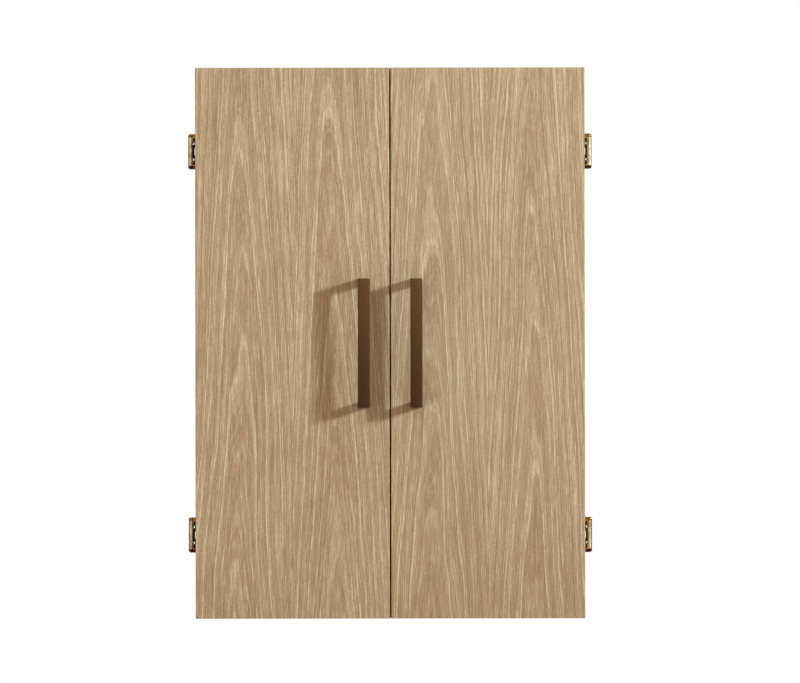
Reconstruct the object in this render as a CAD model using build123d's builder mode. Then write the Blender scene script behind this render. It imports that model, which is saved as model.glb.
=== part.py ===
from build123d import *
import os

# Wall-hung dart board cabinet
#
# A limed oak case hangs on the wall by four screws and carries a bristle dart board on a steel
# bracket. Two oak doors turn on two-inch brass butt hinges, whose barrels stand just outside the
# case. Each door has a flat-bar pull outside, and a chalk scoreboard and a rack of darts inside.
#
# Millimetres. +X is to the right, +Y goes into the wall and +Z is up. The origin is where the axis
# of the bull meets the wall, which is also the middle of the four wall screws. Every depth below is
# a distance out from the wall, so it is measured along -Y.

os.makedirs("parts", exist_ok=True)

# Case
WIDTH = 560.0
HEIGHT = 792.0
CASE_DEPTH = 98.0
PANEL = 18.0
BACK = 12.0
RABBET = 8.0
LINER = 2.0
RAIL_HEIGHT = 58.0
WALL_SPACING_X = 406.4
WALL_SPACING_Z = 690.0
WALL_HOLE_R = 2.75

# Doors
DOOR = 19.0
SEAM = 1.5
DOOR_GAP = 2.0
ARRIS = 1.0

# Hinges: leaves let in flush, three knuckles, the middle one on the case
HINGE_LENGTH = 50.8
HINGE_FROM_END = 120.0
LEAF = 2.0
LEAF_ON_WOOD = 16.0
BARREL_R = 3.75
BARREL_OFFSET = 6.75
PIN_R = 1.5
PIN_LENGTH = 44.0
PIN_CLEARANCE = 0.05
MIDDLE_KNUCKLE = 20.1
KNUCKLE_GAP = 0.4
DOME_R = 3.5
WOOD_WINDOW = 1.3
WOOD_WINDOW_HEIGHT = 9.6
BARREL_NOTCH = 1.2
BARREL_NOTCH_HEIGHT = 3.0
LEAF_SCREWS = ((-17.0, 2.5), (0.0, -2.5), (17.0, 2.5))  # height and stagger of the three screws

# Pulls
PULL_X = 37.7
PULL_LENGTH = 185.2
PULL_WIDTH = 17.2
PULL_BAR = 8.0
PULL_STANDOFF = 35.0
PULL_SCREW_R = 2.0

# Scoreboards and dart racks, on the inside of the doors
CHALK_WIDTH = 170.0
CHALK_HEIGHT = 384.0
CHALK_X = 153.0
CHALK_Z = 130.0
CHALK = 4.0
FRAME_LAP = 6.0
FRAME_OUT = 8.0
FRAME_THICK = 5.0
RACK_WIDTH = 110.0
RACK_DEPTH = 32.0
RACK_THICK = 12.0
RACK_TOP = -238.0
DART_MIDDLE_X = 197.0
DART_PITCH = 36.0
DART_FROM_DOOR = 20.0
DART_HOLE_R = 5.0
DART_REST_GAP = 0.2

# Dart board: the official 451 mm board, hung by one screw in the bracket's slot
BOARD_R = 225.5
BOARD_BACK = 20.0
BOARD_DEPTH = 38.0
BAND = 0.8
BACKING = 6.0
WIRE = 1.2
WIRE_DEPTH = 1.5
RING_RADII = (170.0, 162.0, 107.0, 99.0, 15.9)
INNER_BULL_R = 6.35
NUMBERS = (20, 1, 18, 4, 13, 6, 10, 15, 2, 17, 3, 19, 7, 16, 8, 11, 14, 9, 12, 5)

# Derived places
HALF_WIDTH = WIDTH / 2
HALF_HEIGHT = HEIGHT / 2
INNER_X = HALF_WIDTH - PANEL
INNER_Z = HALF_HEIGHT - PANEL
BACK_X = INNER_X + RABBET
BACK_Z = INNER_Z + RABBET
DOOR_BACK = CASE_DEPTH + SEAM
DOOR_FRONT = DOOR_BACK + DOOR
DOOR_WIDTH = HALF_WIDTH - DOOR_GAP / 2
DOOR_X = HALF_WIDTH - DOOR_WIDTH / 2
LEAF_EDGE_X = HALF_WIDTH - LEAF_ON_WOOD
AXIS_X = HALF_WIDTH + BARREL_OFFSET
AXIS_DEPTH = CASE_DEPTH + SEAM / 2
HINGE_Z = HALF_HEIGHT - HINGE_FROM_END
PULL_LEG_Z = PULL_LENGTH / 2 - PULL_BAR / 2
DART_DEPTH = DOOR_BACK - DART_FROM_DOOR
BOARD_FRONT = BOARD_BACK + BOARD_DEPTH
SIDES = (("left", -1), ("right", 1))
HINGE_PLACES = (("upper", HINGE_Z), ("lower", -HINGE_Z))


def save(piece, name):
    """Label a finished piece and write it to its own STEP file."""
    piece.part.label = name
    export_step(piece.part, f"parts/{name}.step")


def into_wall(x, depth, z):
    """The place of a fastener whose point goes towards the wall."""
    return Location((x, -depth, z), (90, 0, 0))


def out_of_wall(x, depth, z):
    """The place of a fastener whose point comes away from the wall."""
    return Location((x, -depth, z), (-90, 0, 0))


def facing(depth):
    """A plane parallel to the wall, at a depth out from it, that faces the room."""
    return Plane.XZ.offset(depth)


def countersunk_screw(head_r, shank_r, length, slotted=True):
    """A screw that points down from a head flush at z = 0. Without its cross recess it is its own hole."""
    with BuildPart() as screw:
        with BuildSketch(Plane.XZ):
            with BuildLine():
                Polyline(
                    (0, 0),
                    (head_r, 0),
                    (shank_r, shank_r - head_r),
                    (shank_r, shank_r - length),
                    (0, -length),
                    close=True,
                )
            make_face()
        revolve(axis=Axis.Z)
        if slotted:
            with BuildSketch():
                Rectangle(head_r * 1.2, head_r * 0.25)
                Rectangle(head_r * 0.25, head_r * 1.2)
            extrude(amount=-head_r * 0.3, mode=Mode.SUBTRACT)
    return screw.part


def pan_screw(head_r, head_height, shank_r, length):
    """A machine screw that points down from its seat at z = 0, with a domed head above it."""
    with BuildPart() as screw:
        Cylinder(shank_r, length, align=(Align.CENTER, Align.CENTER, Align.MAX))
        Cylinder(head_r, head_height, align=(Align.CENTER, Align.CENTER, Align.MIN))
        fillet(screw.edges().sort_by(Axis.Z)[-1], head_height * 0.6)
        with BuildSketch(Plane.XY.offset(head_height)):
            Rectangle(head_r * 1.1, head_r * 0.22)
            Rectangle(head_r * 0.22, head_r * 1.1)
        extrude(amount=-head_height * 0.5, mode=Mode.SUBTRACT)
    return screw.part


def screws(screw, places, name):
    """A node of identical fasteners, one at each place."""
    with BuildPart() as group:
        with Locations(*places):
            add(screw)
    save(group, name)


# Fasteners, each with the plain hole that it is driven into
HINGE_SCREW = countersunk_screw(3.0, 1.3, 14.0)
HINGE_SCREW_HOLE = countersunk_screw(3.0, 1.3, 14.0, slotted=False)
BACK_SCREW = countersunk_screw(3.5, 1.6, 30.0)
BACK_SCREW_HOLE = countersunk_screw(3.5, 1.6, 30.0, slotted=False)
BRACKET_SCREW = countersunk_screw(3.5, 1.75, 11.0)
BRACKET_SCREW_HOLE = countersunk_screw(3.5, 1.75, 11.0, slotted=False)
RACK_SCREW = countersunk_screw(3.5, 1.75, 44.0)
RACK_SCREW_HOLE = countersunk_screw(3.5, 1.75, 44.0, slotted=False)
CATCH_SCREW = countersunk_screw(2.6, 1.2, 22.0)
CATCH_SCREW_HOLE = countersunk_screw(2.6, 1.2, 22.0, slotted=False)
STRIKE_SCREW = countersunk_screw(2.2, 1.2, 10.0)
STRIKE_SCREW_HOLE = countersunk_screw(2.2, 1.2, 10.0, slotted=False)
PULL_SCREW = pan_screw(4.2, 2.4, PULL_SCREW_R, DOOR + 12.0)


# Case: two full-height sides, a top and a bottom between them, and a back let into a rabbet
DOWEL_R = 4.0
DOWEL_LENGTH = 30.0
DOWEL_IN_SIDE = 12.0
DOWEL_DEPTHS = (25.0, 50.0, 75.0)
BACK_SCREW_HEIGHTS = (-300.0, -100.0, 100.0, 300.0)
BACK_SCREW_X = 150.0


def dowel_places(x_sides, z_sides):
    """The middles of the dowels that lie along X in the chosen corners of the case."""
    x = INNER_X + DOWEL_IN_SIDE - DOWEL_LENGTH / 2
    z = HALF_HEIGHT - PANEL / 2
    return [(sx * x, -depth, sz * z) for sx in x_sides for sz in z_sides for depth in DOWEL_DEPTHS]


def back_screw_places():
    """Screws through the back into the middle of the rabbets all round."""
    x = INNER_X + RABBET / 2
    z = INNER_Z + RABBET / 2
    upright = [(sx * x, 0, height) for sx in (-1, 1) for height in BACK_SCREW_HEIGHTS]
    level = [(across, 0, sz * z) for across in (-BACK_SCREW_X, BACK_SCREW_X) for sz in (-1, 1)]
    return [out_of_wall(*place) for place in upright + level]


def case_leaf_screw_places(side):
    """Three staggered screws in each case leaf, driven into the edge of the side panel."""
    middle = HALF_WIDTH - LEAF_ON_WOOD / 2
    return [
        into_wall(side * (middle + stagger), CASE_DEPTH, hinge_z + rise)
        for _, hinge_z in HINGE_PLACES
        for rise, stagger in LEAF_SCREWS
    ]


def door_leaf_screw_places(side):
    """Three staggered screws in each door leaf, driven into the back of the door."""
    middle = HALF_WIDTH - LEAF_ON_WOOD / 2
    return [
        out_of_wall(side * (middle + stagger), DOOR_BACK, hinge_z + rise)
        for _, hinge_z in HINGE_PLACES
        for rise, stagger in LEAF_SCREWS
    ]


for hand, side in SIDES:
    with BuildPart() as side_panel:
        with Locations((side * (HALF_WIDTH - PANEL / 2), -CASE_DEPTH / 2, 0)):
            Box(PANEL, CASE_DEPTH, HEIGHT)
        with Locations((side * (INNER_X + RABBET / 2), -BACK / 2, 0)):
            Box(RABBET, BACK, 2 * BACK_Z, mode=Mode.SUBTRACT)
        for _, hinge_z in HINGE_PLACES:
            with Locations((side * (HALF_WIDTH - LEAF_ON_WOOD / 2), -CASE_DEPTH + LEAF / 2, hinge_z)):
                Box(LEAF_ON_WOOD, LEAF, HINGE_LENGTH, mode=Mode.SUBTRACT)
        with Locations(*dowel_places([side], (-1, 1))):
            Cylinder(DOWEL_R, DOWEL_LENGTH, rotation=(0, 90, 0), mode=Mode.SUBTRACT)
        with Locations(*case_leaf_screw_places(side)):
            add(HINGE_SCREW_HOLE, mode=Mode.SUBTRACT)
        with Locations(*back_screw_places()):
            add(BACK_SCREW_HOLE, mode=Mode.SUBTRACT)
    save(side_panel, f"{hand}_side_panel")

CATCH_X = 32.0
CATCH_WIDTH = 44.0
CATCH_HEIGHT = 12.0
CATCH_DEPTH = 13.0
CATCH_SET_BACK = 0.2
MAGNET_WIDTH = 20.0
MAGNET_HEIGHT = 6.0
MAGNET_DEPTH = 8.0
MAGNET_Z = INNER_Z - CATCH_HEIGHT / 2
CATCH_SCREW_OFFSET = 16.0
STRIKE_WIDTH = 36.0
STRIKE = 1.1
STRIKE_SCREW_OFFSET = 12.0


def catch_screw_places():
    """Two screws up through each catch into the top panel."""
    depth = CASE_DEPTH - CATCH_SET_BACK - CATCH_DEPTH / 2
    return [
        Location((sx * CATCH_X + offset, -depth, INNER_Z - CATCH_HEIGHT), (180, 0, 0))
        for sx in (-1, 1)
        for offset in (-CATCH_SCREW_OFFSET, CATCH_SCREW_OFFSET)
    ]


for name, z_side in (("top_panel", 1), ("bottom_panel", -1)):
    with BuildPart() as level_panel:
        with Locations((0, -CASE_DEPTH / 2, z_side * (HALF_HEIGHT - PANEL / 2))):
            Box(2 * INNER_X, CASE_DEPTH, PANEL)
        with Locations((0, -BACK / 2, z_side * (INNER_Z + RABBET / 2))):
            Box(2 * INNER_X, BACK, RABBET, mode=Mode.SUBTRACT)
        with Locations(*dowel_places((-1, 1), [z_side])):
            Cylinder(DOWEL_R, DOWEL_LENGTH, rotation=(0, 90, 0), mode=Mode.SUBTRACT)
        with Locations(*back_screw_places()):
            add(BACK_SCREW_HOLE, mode=Mode.SUBTRACT)
        with Locations(*catch_screw_places()):
            add(CATCH_SCREW_HOLE, mode=Mode.SUBTRACT)
    save(level_panel, name)

with BuildPart() as case_dowels:
    with Locations(*dowel_places((-1, 1), (-1, 1))):
        Cylinder(DOWEL_R, DOWEL_LENGTH, rotation=(0, 90, 0))
save(case_dowels, "case_dowels")

# The bracket that the board hangs on: a plate on the back, with a tongue bent out of its window
BRACKET_WIDTH = 70.0
BRACKET_HEIGHT = 90.0
BRACKET = 1.5
TONGUE_WIDTH = 24.0
TONGUE_DEPTH = 18.0
TONGUE_TOP = 9.0
TONGUE_FOOT = -16.0
WINDOW_WIDTH = 28.0
SLOT_R = 2.9
BRACKET_MARGIN = 9.0
BRACKET_CLEARANCE = 2.0

BRACKET_SCREW_PLACES = [
    into_wall(
        sx * (BRACKET_WIDTH / 2 - BRACKET_MARGIN),
        BACK + BRACKET,
        sz * (BRACKET_HEIGHT / 2 - BRACKET_MARGIN),
    )
    for sx in (-1, 1)
    for sz in (-1, 1)
]
WALL_HOLE_PLACES = [
    (sx * WALL_SPACING_X / 2, sz * WALL_SPACING_Z / 2) for sx in (-1, 1) for sz in (-1, 1)
]

with BuildPart() as back_panel:
    with BuildSketch(facing(0)):
        Rectangle(2 * BACK_X, 2 * BACK_Z)
        with Locations(*WALL_HOLE_PLACES):
            Circle(WALL_HOLE_R, mode=Mode.SUBTRACT)
    extrude(amount=BACK)
    with Locations(*back_screw_places()):
        add(BACK_SCREW_HOLE, mode=Mode.SUBTRACT)
    with Locations(*BRACKET_SCREW_PLACES):
        add(BRACKET_SCREW_HOLE, mode=Mode.SUBTRACT)
save(back_panel, "back_panel")

screws(BACK_SCREW, back_screw_places(), "back_panel_screws")

for name, z_side in (("upper_hanging_rail", 1), ("lower_hanging_rail", -1)):
    with BuildPart() as rail:
        with BuildSketch(facing(BACK)):
            with Locations((0, z_side * (INNER_Z - RAIL_HEIGHT / 2))):
                Rectangle(2 * INNER_X, RAIL_HEIGHT)
            with Locations(*WALL_HOLE_PLACES):
                Circle(WALL_HOLE_R, mode=Mode.SUBTRACT)
        extrude(amount=BACK)
    save(rail, name)

with BuildPart() as felt_liner:
    with BuildSketch(facing(BACK)):
        Rectangle(2 * INNER_X, 2 * (INNER_Z - RAIL_HEIGHT))
        Rectangle(
            BRACKET_WIDTH + 2 * BRACKET_CLEARANCE,
            BRACKET_HEIGHT + 2 * BRACKET_CLEARANCE,
            mode=Mode.SUBTRACT,
        )
    extrude(amount=LINER)
save(felt_liner, "felt_liner")

with BuildPart() as hanger_bracket:
    with BuildSketch(facing(BACK)):
        Rectangle(BRACKET_WIDTH, BRACKET_HEIGHT)
        with Locations((0, (BRACKET_HEIGHT / 2 + TONGUE_FOOT) / 2)):
            Rectangle(WINDOW_WIDTH, BRACKET_HEIGHT / 2 - TONGUE_FOOT, mode=Mode.SUBTRACT)
    extrude(amount=BRACKET)
    with Locations((0, -(BACK + TONGUE_DEPTH) / 2, TONGUE_FOOT - BRACKET / 2)):
        Box(TONGUE_WIDTH, TONGUE_DEPTH - BACK, BRACKET)
    with BuildSketch(facing(TONGUE_DEPTH - BRACKET)):
        with Locations((0, (TONGUE_TOP + TONGUE_FOOT - BRACKET) / 2)):
            Rectangle(TONGUE_WIDTH, TONGUE_TOP - TONGUE_FOOT + BRACKET)
        Circle(SLOT_R, mode=Mode.SUBTRACT)
        with Locations((0, TONGUE_TOP / 2)):
            Rectangle(2 * SLOT_R, TONGUE_TOP, mode=Mode.SUBTRACT)
    extrude(amount=BRACKET)
    with Locations(*BRACKET_SCREW_PLACES):
        add(BRACKET_SCREW_HOLE, mode=Mode.SUBTRACT)
save(hanger_bracket, "hanger_bracket")

screws(BRACKET_SCREW, BRACKET_SCREW_PLACES, "hanger_bracket_screws")

# Magnetic catches under the top panel, and felt bumpers on the case's front edges
with BuildPart() as catch_housings:
    with Locations(*[(sx * CATCH_X, -CASE_DEPTH + CATCH_SET_BACK, INNER_Z) for sx in (-1, 1)]):
        Box(CATCH_WIDTH, CATCH_DEPTH, CATCH_HEIGHT, align=(Align.CENTER, Align.MIN, Align.MAX))
    with Locations(*[(sx * CATCH_X, -CASE_DEPTH, MAGNET_Z) for sx in (-1, 1)]):
        Box(
            MAGNET_WIDTH,
            MAGNET_DEPTH,
            MAGNET_HEIGHT,
            align=(Align.CENTER, Align.MIN, Align.CENTER),
            mode=Mode.SUBTRACT,
        )
    with Locations(*catch_screw_places()):
        add(CATCH_SCREW_HOLE, mode=Mode.SUBTRACT)
save(catch_housings, "catch_housings")

with BuildPart() as catch_magnets:
    with Locations(*[(sx * CATCH_X, -CASE_DEPTH, MAGNET_Z) for sx in (-1, 1)]):
        Box(MAGNET_WIDTH, MAGNET_DEPTH, MAGNET_HEIGHT, align=(Align.CENTER, Align.MIN, Align.CENTER))
save(catch_magnets, "catch_magnets")

screws(CATCH_SCREW, catch_screw_places(), "catch_screws")

BUMPER_X = 120.0
BUMPER_R = 5.0
BUMPER = 1.3

with BuildPart() as door_bumpers:
    with BuildSketch(facing(CASE_DEPTH)):
        with GridLocations(2 * BUMPER_X, HEIGHT - PANEL, 2, 2):
            Circle(BUMPER_R)
    extrude(amount=BUMPER)
save(door_bumpers, "door_bumpers")


# Hinges
RELIEF_R = BARREL_R + 0.4
HALF_KNUCKLE = MIDDLE_KNUCKLE / 2
OUTER_KNUCKLE_FROM = HALF_KNUCKLE + KNUCKLE_GAP
HALF_HINGE = HINGE_LENGTH / 2


def leaf_plate(side, hinge_z, depth):
    """A leaf's plate, from its edge on the wood to the barrel's axis, with its face out at depth."""
    with Locations((side * (LEAF_EDGE_X + AXIS_X) / 2, -depth, hinge_z)):
        Box(AXIS_X - LEAF_EDGE_X, LEAF, HINGE_LENGTH, align=(Align.CENTER, Align.MIN, Align.CENTER))


def leaf_windows(side, hinge_z):
    """Openings through a leaf: one beside the wood at mid height and a notch at each knuckle joint."""
    with Locations((side * (HALF_WIDTH + WOOD_WINDOW / 2), -AXIS_DEPTH, hinge_z)):
        Box(WOOD_WINDOW, 4 * LEAF, WOOD_WINDOW_HEIGHT, mode=Mode.SUBTRACT)
    notch_from = AXIS_X - BARREL_R - BARREL_NOTCH
    notch_to = AXIS_X - LEAF
    for end in (-1, 1):
        notch_z = hinge_z + end * (HALF_KNUCKLE + BARREL_NOTCH_HEIGHT / 2)
        with Locations((side * (notch_from + notch_to) / 2, -AXIS_DEPTH, notch_z)):
            Box(notch_to - notch_from, 4 * LEAF, BARREL_NOTCH_HEIGHT, mode=Mode.SUBTRACT)


def barrel_piece(side, hinge_z, radius, low, high, mode=Mode.ADD):
    """A cylinder on the hinge axis between two heights counted from the middle of the hinge."""
    with Locations((side * AXIS_X, -AXIS_DEPTH, hinge_z + (low + high) / 2)):
        Cylinder(radius, high - low, mode=mode)


def outer_knuckle():
    """The upper outer knuckle about the Z axis, with its domed end."""
    with BuildPart() as knuckle:
        with BuildSketch(Plane.XZ):
            with BuildLine():
                Polyline(
                    (0, HALF_HINGE),
                    (0, OUTER_KNUCKLE_FROM),
                    (BARREL_R, OUTER_KNUCKLE_FROM),
                    (BARREL_R, HALF_HINGE - DOME_R),
                )
                RadiusArc((BARREL_R, HALF_HINGE - DOME_R), (BARREL_R - DOME_R, HALF_HINGE), -DOME_R)
                Line((BARREL_R - DOME_R, HALF_HINGE), (0, HALF_HINGE))
            make_face()
        revolve(axis=Axis.Z)
    return knuckle.part


UPPER_KNUCKLE = outer_knuckle()

for hand, side in SIDES:
    for level, hinge_z in HINGE_PLACES:
        with BuildPart() as case_leaf:
            leaf_plate(side, hinge_z, CASE_DEPTH)
            leaf_windows(side, hinge_z)
            barrel_piece(side, hinge_z, RELIEF_R, HALF_KNUCKLE, HALF_HINGE + 1, Mode.SUBTRACT)
            barrel_piece(side, hinge_z, RELIEF_R, -HALF_HINGE - 1, -HALF_KNUCKLE, Mode.SUBTRACT)
            barrel_piece(side, hinge_z, BARREL_R, -HALF_KNUCKLE, HALF_KNUCKLE)
            barrel_piece(side, hinge_z, PIN_R, -HALF_KNUCKLE, HALF_KNUCKLE, Mode.SUBTRACT)
            with Locations(*case_leaf_screw_places(side)):
                add(HINGE_SCREW_HOLE, mode=Mode.SUBTRACT)
        save(case_leaf, f"{hand}_{level}_case_leaf")

        with BuildPart() as door_leaf:
            leaf_plate(side, hinge_z, DOOR_BACK + LEAF)
            leaf_windows(side, hinge_z)
            barrel_piece(
                side, hinge_z, RELIEF_R, -OUTER_KNUCKLE_FROM, OUTER_KNUCKLE_FROM, Mode.SUBTRACT
            )
            with Locations((side * AXIS_X, -AXIS_DEPTH, hinge_z)):
                add(UPPER_KNUCKLE)
                add(UPPER_KNUCKLE, rotation=(180, 0, 0))
            barrel_piece(
                side,
                hinge_z,
                PIN_R + PIN_CLEARANCE,
                -PIN_LENGTH / 2 - KNUCKLE_GAP,
                PIN_LENGTH / 2 + KNUCKLE_GAP,
                Mode.SUBTRACT,
            )
            with Locations(*door_leaf_screw_places(side)):
                add(HINGE_SCREW_HOLE, mode=Mode.SUBTRACT)
        save(door_leaf, f"{hand}_{level}_door_leaf")

with BuildPart() as hinge_pins:
    with Locations(*[(sx * AXIS_X, -AXIS_DEPTH, z) for sx in (-1, 1) for _, z in HINGE_PLACES]):
        Cylinder(PIN_R, PIN_LENGTH)
save(hinge_pins, "hinge_pins")

screws(HINGE_SCREW, case_leaf_screw_places(-1) + case_leaf_screw_places(1), "case_leaf_screws")


# Doors and everything that swings with them
def rack_screw_places(side):
    """Two screws through each rack into the door, between the dart holes."""
    return [
        out_of_wall(side * x, DOOR_BACK - RACK_DEPTH, RACK_TOP - RACK_THICK / 2)
        for x in (DART_MIDDLE_X - DART_PITCH / 2, DART_MIDDLE_X + DART_PITCH / 2)
    ]


def strike_screw_places(side):
    """Two screws in each strike plate."""
    depth = DOOR_BACK - STRIKE
    return [
        out_of_wall(side * CATCH_X + offset, depth, MAGNET_Z)
        for offset in (-STRIKE_SCREW_OFFSET, STRIKE_SCREW_OFFSET)
    ]


def pull_screw_places(side):
    """The two machine screws that come through the door into the feet of the pull."""
    return [out_of_wall(side * PULL_X, DOOR_BACK, z) for z in (-PULL_LEG_Z, PULL_LEG_Z)]


for hand, side in SIDES:
    with BuildPart() as door_panel:
        with Locations((side * DOOR_X, -(DOOR_BACK + DOOR_FRONT) / 2, 0)):
            Box(DOOR_WIDTH, DOOR, HEIGHT)
        fillet(door_panel.faces().sort_by(Axis.Y)[0].edges(), ARRIS)
        with Locations((side * CHALK_X, -DOOR_BACK - CHALK / 2, CHALK_Z)):
            Box(CHALK_WIDTH, CHALK, CHALK_HEIGHT, mode=Mode.SUBTRACT)
        for _, hinge_z in HINGE_PLACES:
            with Locations((side * (HALF_WIDTH - LEAF_ON_WOOD / 2), -DOOR_BACK - LEAF / 2, hinge_z)):
                Box(LEAF_ON_WOOD, LEAF, HINGE_LENGTH, mode=Mode.SUBTRACT)
        with Locations(*door_leaf_screw_places(side)):
            add(HINGE_SCREW_HOLE, mode=Mode.SUBTRACT)
        with Locations(*rack_screw_places(side)):
            add(RACK_SCREW_HOLE, mode=Mode.SUBTRACT)
        with Locations(*strike_screw_places(side)):
            add(STRIKE_SCREW_HOLE, mode=Mode.SUBTRACT)
        with Locations(*[(side * PULL_X, -DOOR_BACK, z) for z in (-PULL_LEG_Z, PULL_LEG_Z)]):
            Cylinder(PULL_SCREW_R, 3 * DOOR, rotation=(90, 0, 0), mode=Mode.SUBTRACT)
    save(door_panel, f"{hand}_door_panel")

    screws(HINGE_SCREW, door_leaf_screw_places(side), f"{hand}_door_leaf_screws")

    # Flat bar bent to a U, on two feet that are tapped for the machine screws
    with BuildPart() as pull:
        with BuildSketch(facing(DOOR_FRONT)):
            with Locations(*[(side * PULL_X, z) for z in (-PULL_LEG_Z, PULL_LEG_Z)]):
                Rectangle(PULL_WIDTH, PULL_BAR)
        extrude(amount=PULL_STANDOFF)
        with BuildSketch(facing(DOOR_FRONT + PULL_STANDOFF)):
            with Locations((side * PULL_X, 0)):
                Rectangle(PULL_WIDTH, PULL_LENGTH)
        extrude(amount=PULL_BAR)
        chamfer(pull.faces().sort_by(Axis.Y)[0].edges(), ARRIS)
        with BuildSketch(facing(DOOR_FRONT)):
            with Locations(*[(side * PULL_X, z) for z in (-PULL_LEG_Z, PULL_LEG_Z)]):
                Circle(PULL_SCREW_R)
        extrude(amount=PULL_STANDOFF / 2, mode=Mode.SUBTRACT)
    save(pull, f"{hand}_pull")

    screws(PULL_SCREW, pull_screw_places(side), f"{hand}_pull_screws")

    with BuildPart() as scoreboard:
        with Locations((side * CHALK_X, -DOOR_BACK - CHALK / 2, CHALK_Z)):
            Box(CHALK_WIDTH, CHALK, CHALK_HEIGHT)
    save(scoreboard, f"{hand}_scoreboard")

    with BuildPart() as scoreboard_frame:
        with BuildSketch(facing(DOOR_BACK - FRAME_THICK)):
            with Locations((side * CHALK_X, CHALK_Z)):
                Rectangle(CHALK_WIDTH + 2 * FRAME_OUT, CHALK_HEIGHT + 2 * FRAME_OUT)
                Rectangle(
                    CHALK_WIDTH - 2 * FRAME_LAP, CHALK_HEIGHT - 2 * FRAME_LAP, mode=Mode.SUBTRACT
                )
        extrude(amount=FRAME_THICK)
        fillet(scoreboard_frame.faces().sort_by(Axis.Y)[-1].edges(), ARRIS)
    save(scoreboard_frame, f"{hand}_scoreboard_frame")

    dart_xs = [side * (DART_MIDDLE_X + step * DART_PITCH) for step in (-1, 0, 1)]
    with BuildPart() as dart_rack:
        with Locations((side * DART_MIDDLE_X, -DOOR_BACK, RACK_TOP)):
            Box(RACK_WIDTH, RACK_DEPTH, RACK_THICK, align=(Align.CENTER, Align.MIN, Align.MAX))
        fillet(dart_rack.edges().filter_by(Axis.Z).group_by(Axis.Y)[-1], 6 * ARRIS)
        with Locations(*[(x, -DART_DEPTH, RACK_TOP) for x in dart_xs]):
            Cylinder(DART_HOLE_R, 3 * RACK_THICK, mode=Mode.SUBTRACT)
        with Locations(*rack_screw_places(side)):
            add(RACK_SCREW_HOLE, mode=Mode.SUBTRACT)
    save(dart_rack, f"{hand}_dart_rack")

    screws(RACK_SCREW, rack_screw_places(side), f"{hand}_rack_screws")

    with BuildPart() as strike_plate:
        with Locations((side * CATCH_X, -DOOR_BACK, MAGNET_Z)):
            Box(STRIKE_WIDTH, STRIKE, CATCH_HEIGHT, align=(Align.CENTER, Align.MIN, Align.CENTER))
        with Locations(*strike_screw_places(side)):
            add(STRIKE_SCREW_HOLE, mode=Mode.SUBTRACT)
    save(strike_plate, f"{hand}_strike_plate")

    screws(STRIKE_SCREW, strike_screw_places(side), f"{hand}_strike_screws")


# Darts: a steel point and a turned barrel, then a plastic stem with four crossed flights that
# rest on the rim of the rack's hole
DART_TIP_Z = RACK_TOP - 110
POINT_R = 1.1
BARREL_TOP_Z = RACK_TOP - 30
BARREL_FOOT_Z = BARREL_TOP_Z - 50
DART_R = 3.4
STEM_R = 2.2
STEM_GAP = 0.05
FLIGHT_TOP_Z = RACK_TOP + 40
FLIGHT_R = 17.0
FLIGHT = 0.8
FLIGHT_SLOPE = 1.6
FLIGHT_FOOT_Z = RACK_TOP + DART_REST_GAP - FLIGHT_SLOPE * DART_HOLE_R


def dart_metal():
    """The dart's point and barrel about the Z axis."""
    with BuildPart() as metal:
        with BuildSketch(Plane.XZ):
            with BuildLine():
                Polyline(
                    (0, DART_TIP_Z),
                    (POINT_R, DART_TIP_Z + 4),
                    (POINT_R, BARREL_FOOT_Z),
                    (DART_R, BARREL_FOOT_Z + 6),
                    (DART_R, BARREL_TOP_Z - 4),
                    (STEM_R, BARREL_TOP_Z),
                    (0, BARREL_TOP_Z),
                    close=True,
                )
            make_face()
        revolve(axis=Axis.Z)
    return metal.part


def dart_tail():
    """The dart's stem with its four flights, about the Z axis."""
    with BuildPart() as tail:
        with Locations((0, 0, BARREL_TOP_Z + STEM_GAP)):
            Cylinder(
                STEM_R,
                FLIGHT_TOP_Z - 20 - BARREL_TOP_Z,
                align=(Align.CENTER, Align.CENTER, Align.MIN),
            )
        for turn in (45, 135):
            with BuildSketch(Plane.XZ.rotated((0, 0, turn))):
                with BuildLine():
                    Polyline(
                        (0, FLIGHT_FOOT_Z),
                        (FLIGHT_R, FLIGHT_FOOT_Z + FLIGHT_SLOPE * FLIGHT_R),
                        (FLIGHT_R, FLIGHT_TOP_Z - 8),
                        (FLIGHT_R - 6, FLIGHT_TOP_Z),
                        (0, FLIGHT_TOP_Z),
                        close=True,
                    )
                make_face()
                mirror(about=Plane.YZ)
            extrude(amount=FLIGHT / 2, both=True)
    return tail.part


DART_METAL = dart_metal()
DART_TAIL = dart_tail()

for hand, side in SIDES:
    for number, step in enumerate((-1, 0, 1), start=1):
        with BuildPart() as dart:
            with Locations((side * (DART_MIDDLE_X + step * DART_PITCH), -DART_DEPTH, 0)):
                add(DART_METAL)
                add(DART_TAIL)
        save(dart, f"{hand}_dart_{number}")


# Dart board
HANG_NECK_R = 2.5
HANG_HEAD_R = 5.0
HANG_HEAD_FROM = 14.2
HANG_HEAD_TO = 16.2
FOOT_R = 8.0
FOOT_GAP = 0.2
FOOT_CIRCLE_R = 180.0
CORE_R = BOARD_R - BAND

with BuildPart() as board_backing:
    with BuildSketch(facing(BOARD_BACK)):
        Circle(CORE_R)
        Circle(HANG_NECK_R, mode=Mode.SUBTRACT)
    extrude(amount=BACKING)
save(board_backing, "board_backing")

with BuildPart() as board_bristle:
    with BuildSketch(facing(BOARD_BACK + BACKING)):
        Circle(CORE_R)
    extrude(amount=BOARD_DEPTH - BACKING)
save(board_bristle, "board_bristle")

with BuildPart() as board_band:
    with BuildSketch(facing(BOARD_BACK + 1)):
        Circle(BOARD_R)
        Circle(CORE_R, mode=Mode.SUBTRACT)
    extrude(amount=BOARD_DEPTH - 2)
save(board_band, "board_band")

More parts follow.
